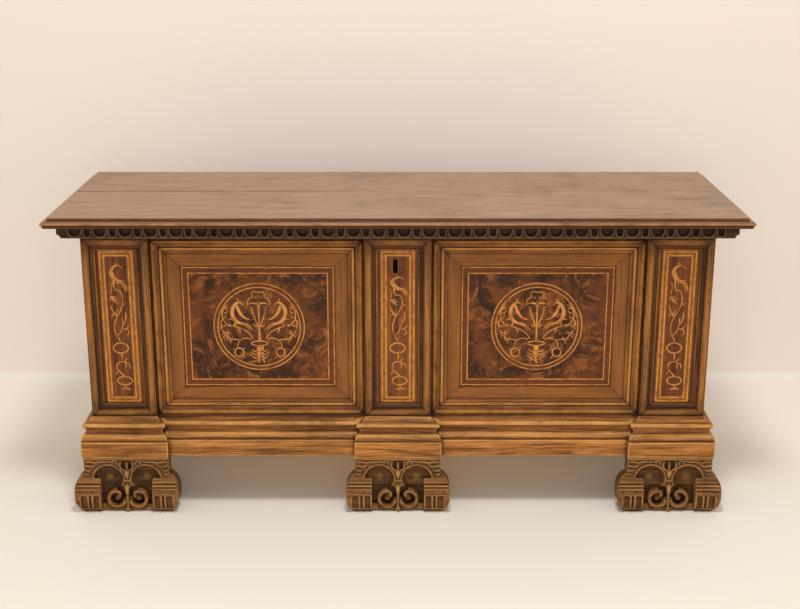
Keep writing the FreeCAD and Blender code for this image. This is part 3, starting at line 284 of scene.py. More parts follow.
def shader_group(name, inputs, outputs):
    """An empty node group, its sockets named by kind, as its graph, start and end."""
    tree = bpy.data.node_groups.new(name, "ShaderNodeTree")
    for way, sockets in (("INPUT", inputs), ("OUTPUT", outputs)):
        for kind, labels in sockets.items():
            for label in labels:
                tree.interface.new_socket(label, in_out=way, socket_type=f"NodeSocket{kind}")
    graph = Graph(tree)
    start = graph.add("NodeGroupInput").outputs
    end = graph.add("NodeGroupOutput").inputs
    return graph, start, end


def timber_figure():
    """Long streaks, fine lines and short pores along the group's own X."""
    graph, start, end = shader_group(
        "Timber figure",
        {"Vector": ["Vector"], "Color": ["Light", "Middle", "Dark"]},
        {"Color": ["Color"], "Float": ["Height", "Roughness"]},
    )
    place = start["Vector"]
    sway = graph.stretched(place, (2.5, 9, 9), 2)
    lift = graph.times(graph.less(sway, 0.5), 0.022)
    place = graph.vector("ADD", place, graph.join(0, lift, lift))
    clouds = graph.stretched(place, (3, 11, 11), 3, 0.6)
    broad = graph.stretched(place, (2.8, 90, 90), 5, 0.68, 0.3)
    lines = graph.stretched(place, (7, 320, 320), 3, 0.65)
    pores = graph.stretched(place, (60, 1200, 1200), 1)
    tint = graph.lay(start["Dark"], start["Middle"], broad, 0.34, 0.6)
    tint = graph.lay(tint, start["Light"], broad, 0.54, 0.76, 0.7)
    tint = graph.lay(tint, start["Light"], lines, 0.48, 0.72, 0.65)
    tint = graph.lay(tint, start["Dark"], lines, 0.47, 0.31, 0.7)
    tint = graph.lay(tint, start["Dark"], clouds, 0.5, 0.28, 0.5)
    short = graph.spread(pores, 0.36, 0.26)
    tint = graph.mix(graph.times(short, 0.5), tint, start["Dark"])
    graph.feed(end["Color"], tint)
    graph.feed(end["Height"], graph.less(graph.times(lines, 0.6), short))
    graph.feed(end["Roughness"], graph.spread(broad, 0.3, 0.7, 0.42, 0.56))
    return graph.tree


def years_of_use():
    """Edges rubbed light, hollows filled with dirt, stains, and a few worm holes."""
    graph, start, end = shader_group(
        "Years of use",
        {
            "Color": ["Color", "Worn", "Grime"],
            "Vector": ["Vector"],
            "Float": ["Roughness", "Wear", "Dirt", "Edge Reach", "Crevice Reach"],
        },
        {"Color": ["Color"], "Float": ["Roughness", "Height"]},
    )
    patch = graph.noise(start["Vector"], 30, 4, 0.65)
    inner = graph.add("ShaderNodeAmbientOcclusion", inside=True, only_local=True, samples=6)
    graph.feed(inner.inputs["Distance"], start["Edge Reach"])
    crest = graph.times(graph.spread(inner.outputs["AO"], 0.97, 0.7, 0, 0.16), start["Wear"], clamp=True)
    edge = graph.spread(inner.outputs["AO"], 0.78, 0.58)
    edge = graph.times(edge, graph.spread(patch, 0.3, 0.6, 0.3, 1))
    edge = graph.times(edge, start["Wear"], clamp=True)
    outer = graph.add("ShaderNodeAmbientOcclusion", samples=6)
    graph.feed(outer.inputs["Distance"], start["Crevice Reach"])
    hollow = graph.spread(outer.outputs["AO"], 0.93, 0.5)
    hollow = graph.times(hollow, graph.spread(patch, 0.7, 0.35, 0.7, 1))
    hollow = graph.times(hollow, start["Dirt"], clamp=True)
    flecks = graph.spread(graph.noise(start["Vector"], 330, 3, 0.6), 0.54, 0.7, 0, 0.25)
    flecks = graph.times(flecks, start["Wear"], clamp=True)
    stain = graph.spread(graph.noise(start["Vector"], 7, 5, 0.6), 0.5, 0.72, 0, 0.3)
    worm = graph.cells(start["Vector"], 38)
    thinned = graph.spread(graph.noise(start["Vector"], 11, 1), 0.52, 0.6)
    worm = graph.times(graph.spread(worm, 0.05, 0.035), thinned)
    tint = graph.mix(graph.times(stain, start["Dirt"]), start["Color"], start["Grime"])
    tint = graph.mix(flecks, tint, start["Worn"])
    tint = graph.mix(crest, tint, start["Worn"])
    tint = graph.mix(edge, tint, start["Worn"])
    tint = graph.mix(hollow, tint, start["Grime"])
    tint = graph.mix(worm, tint, start["Grime"])
    graph.feed(end["Color"], tint)
    dull = graph.plus(start["Roughness"], graph.times(hollow, 0.3))
    graph.feed(end["Roughness"], graph.less(dull, graph.times(edge, 0.06)))
    graph.feed(end["Height"], graph.less(graph.times(patch, 0.4), worm))
    return graph.tree


def burr_figure():
    """Swirled clouds and small eyes of a burr veneer."""
    graph, start, end = shader_group(
        "Burr figure",
        {"Vector": ["Vector"], "Color": ["Light", "Middle", "Dark"]},
        {"Color": ["Color"], "Float": ["Height"]},
    )
    clouds = graph.noise(start["Vector"], 7, 4, 0.55, 1.6)
    swirls = graph.noise(start["Vector"], 15, 5, 0.62, 3)
    threads = graph.noise(start["Vector"], 90, 4, 0.65, 4)
    eyes = graph.cells(graph.vector("ADD", start["Vector"], graph.join(graph.times(swirls, 0.03), 0, 0)), 46)
    tint = graph.lay(start["Dark"], start["Middle"], clouds, 0.38, 0.58)
    tint = graph.lay(tint, start["Light"], swirls, 0.5, 0.68, 0.9)
    tint = graph.lay(tint, start["Dark"], swirls, 0.47, 0.33, 0.85)
    tint = graph.lay(tint, start["Light"], threads, 0.48, 0.66, 0.35)
    tint = graph.lay(tint, start["Dark"], eyes, 0.2, 0.05, 0.6)
    graph.feed(end["Color"], tint)
    graph.feed(end["Height"], threads)
    return graph.tree


def boxwood_figure():
    """Boxwood with a fine grain, shaded here and there with hot sand."""
    graph, start, end = shader_group(
        "Boxwood figure", {"Vector": ["Vector"], "Color": ["Light", "Dark"]}, {"Color": ["Color"]}
    )
    place = start["Vector"]
    shaded = graph.noise(place, 60, 3, 0.6)
    fine = graph.stretched(place, (500, 500, 60), 2)
    tint = graph.lay(start["Light"], start["Dark"], shaded, 0.42, 0.7)
    graph.feed(end["Color"], graph.lay(tint, start["Dark"], fine, 0.5, 0.75, 0.35))
    return graph.tree


def profile_shade_and_highlight():
    """Painted shade in the quirks and broken painted highlights on the crests of a moulding, with wear kept
    out of the painted shade.
    """
    graph, start, end = shader_group(
        "Profile shades",
        {"Color": ["Color", "Dark", "Light"], "Vector": ["Vector"], "Float": ["Shade", "Wear"]},
        {"Color": ["Color"], "Float": ["Wear"]},
    )
    shade = start["Shade"]
    painted_shade = graph.times(graph.less(0.5, shade), 1.9, clamp=True)
    painted_highlight = graph.times(graph.less(shade, 0.5), 1.8, clamp=True)
    broken = graph.spread(graph.noise(start["Vector"], 24, 5, 0.7), 0.36, 0.6, 0.3, 1)
    tint = graph.mix(painted_shade, start["Color"], start["Dark"])
    graph.feed(end["Color"], graph.mix(graph.times(painted_highlight, broken), tint, start["Light"]))
    open_to_wear = graph.times(shade, 2.4, clamp=True)
    graph.feed(end["Wear"], graph.times(open_to_wear, start["Wear"]))
    return graph.tree


def soft_spot():
    """A soft round spot of one tone over a figure."""
    graph, start, end = shader_group(
        "Soft spot",
        {"Color": ["Color", "Spot"], "Vector": ["Off"], "Float": ["Radius", "Share"]},
        {"Color": ["Color"]},
    )
    away = graph.math("DIVIDE", graph.vector("LENGTH", start["Off"]), start["Radius"])
    near = graph.times(graph.spread(away, 1, 0.4), start["Share"])
    graph.feed(end["Color"], graph.mix(near, start["Color"], start["Spot"]))
    return graph.tree


def from_sides():
    """How far a place lies in from the sides of a rectangle, from its corner and off its mitres."""
    graph, start, end = shader_group(
        "From the sides",
        {"Vector": ["Vector"], "Float": ["Half Wide", "Half High"]},
        {"Float": ["Inward", "Corner", "Off Mitre"]},
    )
    across, _, up = graph.split(start["Vector"])
    beside = graph.less(start["Half Wide"], graph.math("ABSOLUTE", across))
    above = graph.less(start["Half High"], graph.math("ABSOLUTE", up))
    graph.feed(end["Inward"], graph.math("MINIMUM", beside, above))
    graph.feed(end["Corner"], graph.plus(beside, above))
    graph.feed(end["Off Mitre"], graph.less(beside, above))
    return graph.tree


def effect(name, make):
    return bpy.data.node_groups.get(name) or make()


# How each grain direction is turned so that the figure runs along its own X
GRAINS = {"x": (0, 0, 0), "y": (0, 0, math.pi / 2), "z": (0, math.pi / 2, 0)}


def new_material(name):
    material = bpy.data.materials.new(name)
    material.use_nodes = True
    graph = Graph(material.node_tree)
    surface = material.node_tree.nodes["Principled BSDF"]
    place = graph.add("ShaderNodeTexCoord").outputs["Object"]
    return material, graph, surface.inputs, place


def turned_grain(graph, place, grain):
    node = graph.add("ShaderNodeMapping")
    graph.feed(node.inputs["Vector"], place)
    node.inputs["Rotation"].default_value = GRAINS[grain]
    return node.outputs["Vector"]


def raise_grain(graph, sockets, height, deep):
    bump = graph.add("ShaderNodeBump")
    bump.inputs["Strength"].default_value = 0.5
    bump.inputs["Distance"].default_value = deep
    graph.feed(bump.inputs["Height"], height)
    graph.feed(sockets["Normal"], bump.outputs["Normal"])


def aged(graph, sockets, place, tint, rough, worn, wear, dirt, height, deep=0.35 * MM, reach=1):
    """Adds wear and dirt to a figure and sends all of it to the surface."""
    scene = bpy.context.scene
    age = graph.use(
        effect("Years of use", years_of_use),
        Color=tint,
        Worn=worn,
        Grime=scene.cassone_timber.grime_and_shade,
        Vector=place,
        Roughness=rough,
        Wear=wear,
        Dirt=dirt,
        Edge_Reach=scene.cassone_age.edge_reach,
        Crevice_Reach=scene.cassone_age.crevice_reach * reach,
    )
    graph.feed(sockets["Base Color"], age["Color"])
    graph.feed(sockets["Roughness"], age["Roughness"])
    raise_grain(graph, sockets, graph.plus(height, age["Height"]), deep)


# The shine of wood, of the wax on it, and how much more of that the lid holds
WOOD_SHINE = 0.12
WAX_ROUGH = 0.32
LID_WAX = 2.5


def wax(sockets, share=1.0):
    sockets["Coat Weight"].default_value = bpy.context.scene.cassone_age.wax * share
    sockets["Coat Roughness"].default_value = WAX_ROUGH
    sockets["Specular IOR Level"].default_value = WOOD_SHINE


# Painted shade and highlight along a profile, in millimetres: 0 is full painted shade, 0.5 as it comes,
# 1 full painted highlight. The frames are measured inward from their outer side, the others up from below.
FRAME_SHADE_AND_HIGHLIGHT = (
    (0, 0), (1.2, 0.1), (2.6, 0.6), (7, 0.88), (12, 0.74), (15, 0.62), (22, 0.54), (24.4, 0.08), (25.4, 0.68),
    (27.5, 0.96), (30, 0.8), (31.5, 0.34), (33, 0.52), (38, 0.56), (39.6, 0.06), (41.4, 0.3), (43, 0.48),
    (67, 0.48), (71, 0.36),
)
STILE_SHADE_AND_HIGHLIGHT = (
    (0, 0.12), (2, 0.44), (6, 0.66), (12, 0.66), (15.5, 0.46), (17.5, 0.2), (19, 0.14), (24, 0.2), (28, 0.4),
    (31, 0.5),
)
BASE_SHADE_AND_HIGHLIGHT = (
    (0, 0.12), (2, 0.5), (10, 0.46), (37, 0.54), (40.8, 0.76), (42.4, 0.16), (45.2, 0.06), (48, 0.42),
    (53, 0.62), (58, 0.74), (61, 0.46), (64, 0.34), (72, 0.36), (76.2, 0.12), (77.6, 0.74), (83, 0.74),
    (85.8, 0.95), (87.5, 0.2), (91, 0.5), (96, 0.6), (99, 0.3), (101, 0.06),
)
LID_SHADE_AND_HIGHLIGHT = (
    (0, 0), (5, 0.06), (6, 0), (7.4, 0.12), (8.6, 0.56), (11, 0.9), (14, 0.8), (15.7, 0.56), (16.5, 0.1),
    (19, 0.16), (21, 0.26), (23.5, 0.36),
)

# Spans of the X, Y or Z of a normal over which a face counts as looking up, down or aside
LOOKS_UP = (0.97, 0.995)
LOOKS_DOWN = (-0.9, -0.97)
LOOKS_ASIDE = (0.5, 0.7)

# Inlay and veneer: their roughness, and how deep their figure stands
INLAY_ROUGH = 0.45
INLAY_GRAIN = 0.1 * MM
# How soft the edge of a light line is, either way
LINE_SOFT = 0.3 * MM

# Spans in millimetres over which the looks of a frame change, in from its side unless said
ROUND_ENDS = (15, 18)
FLAT_STARTS = (40, 42)
JOINT_FADES = (60, 8)
# The painted shade in the outer corners of a frame
CORNER_DARKENS = (84, 14)
# Off a mitre: the dark line of the joint, and the strip that wear leaves out
JOINT_LINE = (1.8, 0.5)
JOINT_UNWORN = (5, 9)
# Behind the carved face of a foot: where its dirt sets in
SUNK_STARTS = (2, 9)
# Off the middle of the seam of the lid
SEAM_LINE = (7, 3.5)

# How far the edges are rubbed: of most finishes, and of those that differ
RUBBED_MOST = 0.85
RUBBED = {"foot": 0.28, "ridge": 0.5, "base": 0.9}
# How dirty the hollows are, in the same way, and how far the dirt reaches against the usual
DIRT_MOST = 0.95
DIRT = {"foot": 0.55, "ridge": 0.75}
DIRT_REACH = {"foot": 1.6, "ridge": 1, "rim": 0.7, "strip": 1.5, "base": 1.6}


def shades_of(finish):
    return [getattr(bpy.context.scene.cassone_timber, f"{finish}_{shade}") for shade in SHADES]


def figured(graph, vector, finish):
    """The figure of one finish, its grain along the X of the vector."""
    light, middle, dark = shades_of(finish)[:3]
    group = effect("Timber figure", timber_figure)
    return graph.use(group, Vector=vector, Light=light, Middle=middle, Dark=dark)


def profiled(graph, place, tint, wear, along, stops, dark, light):
    """A tint and its wear after the painted shade and highlight of a profile."""
    last = stops[-1][0]
    share = graph.math("DIVIDE", along, last * MM)
    shade = graph.ramp(share, [(stop / last, value) for stop, value in stops])
    group = effect("Profile shades", profile_shade_and_highlight)
    laid = graph.use(group, Color=tint, Dark=dark, Light=light, Vector=place, Shade=shade, Wear=wear)
    return laid["Color"], laid["Wear"]


def inward_of(graph, place, centre, high):
    """A place from the middle of a rectangle, and how far in from its sides it lies."""
    place = graph.vector("SUBTRACT", place, centre)
    half = high - centre
    group = effect("From the sides", from_sides)
    return place, graph.use(group, Vector=place, Half_Wide=half.x, Half_High=half.z)


def timber(finish, grain):
    """A walnut of one finish, its grain along X, Y or Z."""
    name = f"{finish} timber {grain}"
    if name in bpy.data.materials:
        return bpy.data.materials[name]
    dark, worn = shades_of(finish)[2:]
    material, graph, sockets, place = new_material(name)
    figure = figured(graph, turned_grain(graph, place, grain), finish)
    tint = figure["Color"]
    wear = RUBBED.get(finish, RUBBED_MOST)
    up = graph.split(place)[2]
    if finish == "lid":
        # Painted shade and highlight up the lid's edge moulding
        edge = graph.less(up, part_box("lid_front_plank")[0].z)
        tint, wear = profiled(graph, place, tint, wear, edge, LID_SHADE_AND_HIGHLIGHT, dark, worn)
        # A paler top: partly painted reflection, partly wood bleached by the light
        tint = sheen_and_fade_top(graph, place, tint)
        tint = plain_where(graph, place, tint, graph.spread(own_normal(graph)[2], *LOOKS_DOWN), "x")
    if finish == "field":
        aside = graph.math("ABSOLUTE", own_normal(graph)[0])
        tint = plain_where(graph, place, tint, graph.spread(aside, *LOOKS_ASIDE), "z")
    if finish == "base":
        # Painted shade and highlight up the base mouldings
        edge = graph.less(up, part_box("centre_pedestal")[0].z)
        tint, wear = profiled(graph, place, tint, wear, edge, BASE_SHADE_AND_HIGHLIGHT, dark, worn)
    if finish == "foot":
        tint, sunk = sunk_ground(graph, place, tint)
        wear = graph.times(graph.less(1, sunk), wear)
    if finish in SPOTS:
        tint = spotted(graph, place, tint, SPOTS[finish])
    rough, height = figure["Roughness"], figure["Height"]
    dirt = DIRT.get(finish, DIRT_MOST)
    aged(graph, sockets, place, tint, rough, worn, wear, dirt, height, reach=DIRT_REACH.get(finish, 1))
    wax(sockets, LID_WAX if finish == "lid" else 1)
    return material


def own_normal(graph):
    """The way a face of the piece itself looks, whatever the pose: X, Y and Z."""
    return graph.split(graph.add("ShaderNodeTexCoord").outputs["Normal"])


def plain_where(graph, place, tint, share, grain):
    """The plain walnut of the sides that were never finished."""
    plain = figured(graph, turned_grain(graph, place, grain), "plain")["Color"]
    return graph.mix(share, tint, plain)


def sunk_ground(graph, place, tint):
    """The dirt of the sunk ground and the dishes, behind the carved face of the feet."""
    scene = bpy.context.scene
    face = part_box("centre_front_foot")[0].y + scene.cassone_carving.face_back
    starts, ends = (face + depth * MM for depth in SUNK_STARTS)
    sunk = graph.spread(graph.split(place)[1], starts, ends)
    return graph.mix(graph.times(sunk, 0.5), tint, scene.cassone_timber.grime_and_shade), sunk


# Soft spots on the front of a foot: across from its middle, up, radius, and which tone they take how far
SPOTS = {
    "foot": ((46, 83, 12, "foot_worn", 0.45), (84, 56, 4, "grime_and_shade", 0.6), (113, 56, 4, "grime_and_shade", 0.6)),
    "ridge": ((0, 98, 10, "ridge_worn", 0.8), (0, 60, 13, "ridge_worn", 0.8)),
}


def spotted(graph, place, tint, spots):
    """Soft round spots, the same on all three front feet and either side of their middles."""
    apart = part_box("right_front_foot")
    pitch = (apart[0].x + apart[1].x) / 2
    across, _, up = graph.split(place)
    across = graph.math("ABSOLUTE", across)
    across = graph.math("MINIMUM", across, graph.math("ABSOLUTE", graph.less(across, pitch)))
    for aside, high, radius, shade, share in spots:
        tint = graph.use(
            effect("Soft spot", soft_spot),
            Color=tint,
            Spot=getattr(bpy.context.scene.cassone_timber, shade),
            Off=graph.join(graph.less(across, aside * MM), 0, graph.less(up, high * MM)),
            Radius=radius * MM,
            Share=share,
        )["Color"]
    return tint


def mitred_timber(name, finish, centre, high):
    """A frame's walnut: the grain turns at the mitres, whose joints show as dark lines."""
    dark, worn = shades_of(finish)[2:]
    material, graph, sockets, place = new_material(name)
    place, sides = inward_of(graph, place, centre, high)
    across, deep, up = graph.split(place)
    rail = graph.math("GREATER_THAN", sides["Off Mitre"], 0)
    figure = figured(graph, graph.mix(rail, graph.join(up, deep, across), place), finish)
    off_mitre = graph.math("ABSOLUTE", sides["Off Mitre"])
    inward = sides["Inward"]
    # Painted shade in the outer corners of the frame, broken by noise
    corner = graph.over(sides["Corner"], CORNER_DARKENS, 0, 0.95)
    corner = graph.times(corner, graph.spread(graph.noise(place, 22, 3), 0.3, 0.55))
    tones = bpy.context.scene.cassone_timber
    tint, wear = figure["Color"], RUBBED_MOST
    # Painted shade and highlight across the frame's profile; the stiles take the dirt colour as their painted
    # shade
    if finish == "stile":
        tint, wear = profiled(graph, place, tint, wear, inward, STILE_SHADE_AND_HIGHLIGHT, tones.grime_and_shade, worn)
        wear = graph.times(graph.over(inward, ROUND_ENDS, 1, 0.1), wear)
    else:
        flat = graph.over(inward, FLAT_STARTS)
        tint = graph.mix(graph.times(flat, 0.45), tint, tones.frame_flat)
        tint, wear = profiled(graph, place, tint, wear, inward, FRAME_SHADE_AND_HIGHLIGHT, dark, worn)
        wear = graph.times(graph.less(1, graph.times(flat, 0.9)), wear)
    tint = graph.mix(corner, tint, dark)
    joint = graph.over(off_mitre, JOINT_LINE)
    joint = graph.times(joint, graph.over(inward, JOINT_FADES, 0.15, 0.5))
    tint = graph.mix(joint, tint, dark)
    wear = graph.times(graph.over(off_mitre, JOINT_UNWORN), wear)
    aged(graph, sockets, place, tint, figure["Roughness"], worn, wear, DIRT_MOST, figure["Height"])
    wax(sockets)
    return material


def sheen_and_fade_top(graph, place, tint):
    """The top of the lid, paler on its upward faces as a painted reflection and as wood bleached by the
    light, with the line of its seam.
    """
    tones = bpy.context.scene.cassone_timber
    upward = own_normal(graph)[2]
    streaks = graph.stretched(place, (6, 90, 90), 5, 0.65)
    # Paler upward faces in streaks: painted reflection and bleached wood
    sheen_and_fade = graph.times(graph.spread(upward, *LOOKS_UP), graph.spread(streaks, 0.3, 0.7, 0.5, 0.92))
    tint = graph.mix(sheen_and_fade, tint, tones.lid_sheen_and_fade)
    across, deep, _ = graph.split(place)
    off_seam = graph.math("ABSOLUTE", graph.less(deep, bpy.context.scene.cassone_inlay.seam))
    shown = graph.spread(across, 0.1, -0.55, 0.3, 0.9)
    seam = graph.times(graph.over(off_seam, SEAM_LINE), shown)
    return graph.mix(seam, tint, tones.lid_dark)


def burr_veneer():
    tones = bpy.context.scene.cassone_timber
    material, graph, sockets, place = new_material("burr veneer")
    figure = graph.use(
        effect("Burr figure", burr_figure),
        Vector=place,
        Light=tones.burr_light,
        Middle=tones.burr_middle,
        Dark=tones.burr_dark,
    )
    tint, height = figure["Color"], figure["Height"]
    aged(graph, sockets, place, tint, INLAY_ROUGH, tones.burr_light, 0.2, 0.6, height, INLAY_GRAIN)
    wax(sockets)
    return material


def boxwood():
    tones = bpy.context.scene.cassone_timber
    material, graph, sockets, place = new_material("boxwood inlay")
    tint = boxwood_tint(graph, place, tones)
    aged(graph, sockets, place, tint, INLAY_ROUGH, tones.box_light, 0.1, 0.3, 0.5, INLAY_GRAIN)
    sockets["Specular IOR Level"].default_value = WOOD_SHINE
    return material


def boxwood_tint(graph, place, tones):
    figure = effect("Boxwood figure", boxwood_figure)
    return graph.use(figure, Vector=place, Light=tones.box_light, Dark=tones.box_dark)["Color"]


def banding(name, centre, high, middle, wide, line, ring):
    """Light lines either side of a darker band: round a rectangle, and round a ring where there is one."""
    tones = bpy.context.scene.cassone_timber
    sizes = bpy.context.scene.cassone_inlay
    material, graph, sockets, place = new_material(name)
    centred, sides = inward_of(graph, place, centre, high)
    across, _, up = graph.split(centred)
    inward = sides["Inward"]
    light = lines_at(graph, inward, wide, line)
    if ring:
        away = graph.less(sizes.ring_round, graph.vector("LENGTH", graph.join(across, 0, up)))
        off_middle = graph.math("ABSOLUTE", graph.less(away, sizes.ring_wide / 2))
        near = graph.math("LESS_THAN", off_middle, sizes.ring_wide)
        on_ring = graph.times(near, graph.math("GREATER_THAN", inward, wide * 1.2))
        round_light = lines_at(graph, away, sizes.ring_wide, sizes.ring_line)
        straight = graph.times(light, graph.less(1, on_ring))
        light = graph.plus(straight, graph.times(round_light, on_ring))
    streaks = graph.stretched(place, (90, 90, 90), 3)
    inner = graph.lay(middle, tones.frame_dark, streaks, 0.35, 0.7, 0.5)
    tint = graph.mix(light, inner, boxwood_tint(graph, place, tones))
    aged(graph, sockets, place, tint, INLAY_ROUGH, tones.box_light, 0, 0.6, streaks, INLAY_GRAIN)
    wax(sockets)
    return material


def lines_at(graph, inward, wide, line):
    """1 on the light line along each edge of a band, 0 between them."""
    off_middle = graph.math("ABSOLUTE", graph.less(inward, wide / 2))
    edge = wide / 2 - line
    return graph.spread(off_middle, edge - LINE_SOFT, edge + LINE_SOFT)


def forged_iron():
    tones = bpy.context.scene.cassone_timber
    material, graph, sockets, place = new_material("forged iron")
    blotches = graph.noise(place, 90, 5, 0.7)
    hammered = graph.noise(place, 220, 2)
    tint = graph.lay(tones.iron, tones.rust, blotches, 0.45, 0.7)
    graph.feed(sockets["Base Color"], tint)
    graph.feed(sockets["Metallic"], graph.spread(blotches, 0.62, 0.42, 0.25, 0.9))
    graph.feed(sockets["Roughness"], graph.spread(blotches, 0.3, 0.7, 0.42, 0.75))
    raise_grain(graph, sockets, hammered, 0.4 * MM)
    return material


# Which timber and grain each node takes. A node is looked up by the longest ending that fits.
FINISHES = {
    "back_board": ("plain", "x"),
    "front_board": ("plain", "x"),
    "end_board": ("plain", "y"),
    "bottom_boards": ("plain", "x"),
    "bottom_battens": ("plain", "y"),
    "lid_battens": ("plain", "y"),
    "frieze_rail": ("frame", "x"),
    "pilaster_board": ("field", "z"),
    "pedestal": ("base", "x"),
    "left_base_moulding": ("base", "x"),
    "right_base_moulding": ("base", "x"),
    "side_base_moulding": ("base", "y"),
    "front_foot": ("foot", "x"),
    "rear_foot": ("base", "z"),
    "front_carved_strip": ("strip", "x"),
    "left_carved_strip": ("strip", "y"),
    "right_carved_strip": ("strip", "y"),
    "lid_front_plank": ("lid", "x"),
    "lid_rear_plank": ("lid", "x"),
}


def dress(node, material):
    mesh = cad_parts[node].data
    mesh.materials.clear()
    mesh.materials.append(material)


class CASSONE_OT_timbers(bpy.types.Operator):
    """Give every board, moulding, foot and fitting its wood or iron"""

    bl_idname = "cassone.timbers"
    bl_label = "Timbers and iron"

    def execute(self, context):
        tones = context.scene.cassone_timber
        inlay = context.scene.cassone_inlay
        iron = forged_iron()
        burr = burr_veneer()
        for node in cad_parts:
            fits = [ending for ending in FINISHES if node.endswith(ending)]
            if "_frame_" in node or node.endswith("pilaster_frame"):
                dress(node, self.frame_timber(node))
            elif fits:
                finish, grain = FINISHES[max(fits, key=len)]
                dress(node, timber(finish, grain))
            elif node.endswith("panel_board"):
                dress(node, burr)
            elif node.endswith("banding"):
                low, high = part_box(node)
                if "panel" in node:
                    parts = (tones.band_brown, inlay.panel_band, inlay.panel_line, True)
                else:
                    parts = (tones.band_ochre, inlay.pilaster_band, inlay.pilaster_line, False)
                dress(node, banding(f"{node} lines", (low + high) / 2, high, *parts))
            else:
                dress(node, iron)
        return {"FINISHED"}

    def frame_timber(self, node):
        """One material for all four members of a frame."""
        name = node if node.endswith("pilaster_frame") else node.split("_")[0] + "_panel_board"
        title = f"{name} mitred"
        if title in bpy.data.materials:
            return bpy.data.materials[title]
        low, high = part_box(name)
        finish = "stile" if name == node else "frame"
        return mitred_timber(title, finish, (low + high) / 2, high)


# Meshes


def shown(name, form, material):
    """A form as a smooth object of the scene."""
    mesh = bpy.data.meshes.new(name)
    form.to_mesh(mesh)
    form.free()
    for polygon in mesh.polygons:
        polygon.use_smooth = True
    mesh.materials.append(material)
    made = bpy.data.objects.new(name, mesh)
    bpy.context.collection.objects.link(made)
    return made


def new_piece(name, form, body, material):
    """A finished form as a piece of the object."""
    bmesh.ops.recalc_face_normals(form, faces=form.faces)
    piece = shown(name, form, material)
    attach(piece, body)


def add_strand(form, points, closed=False, sides=2, steps=5):
    """A strand through points of place and radius, round in section, added to a form."""
    data = bpy.data.curves.new("strand", "CURVE")
    data.dimensions = "3D"
    data.bevel_depth = 1
    data.bevel_resolution = sides
    data.resolution_u = steps
    data.use_fill_caps = not closed
    line = data.splines.new("BEZIER")
    line.bezier_points.add(len(points) - 1)
    line.use_cyclic_u = closed
    for point, (place, radius) in zip(line.bezier_points, points):
        point.co = place
        point.radius = radius
        point.handle_left_type = point.handle_right_type = "AUTO"
    carrier = bpy.data.objects.new("strand", data)
    mesh = bpy.data.meshes.new_from_object(carrier)
    form.from_mesh(mesh)
    bpy.data.objects.remove(carrier)
    bpy.data.curves.remove(data)
    bpy.data.meshes.remove(mesh)


def oval(across, up, half_wide, half_high, radius, count=10):
    """Points of a closed oval, each with its radius, in millimetres."""
    turns = [2 * math.pi * number / count for number in range(count)]
    return [(across + half_wide * math.cos(t), up + half_high * math.sin(t), radius) for t in turns]


def flatten(form, face, proud, let_in):
    """Presses a form into a thin inlay with a flat front that faces -Y."""
    for vertex in form.verts:
        deep = vertex.co.y - face
        vertex.co.y = face - proud if deep < 0 else face + let_in


# Strands of the inlay, in millimetres from the middle of the field: across, up and half width.
# A mirrored strand is drawn on both sides of the middle.

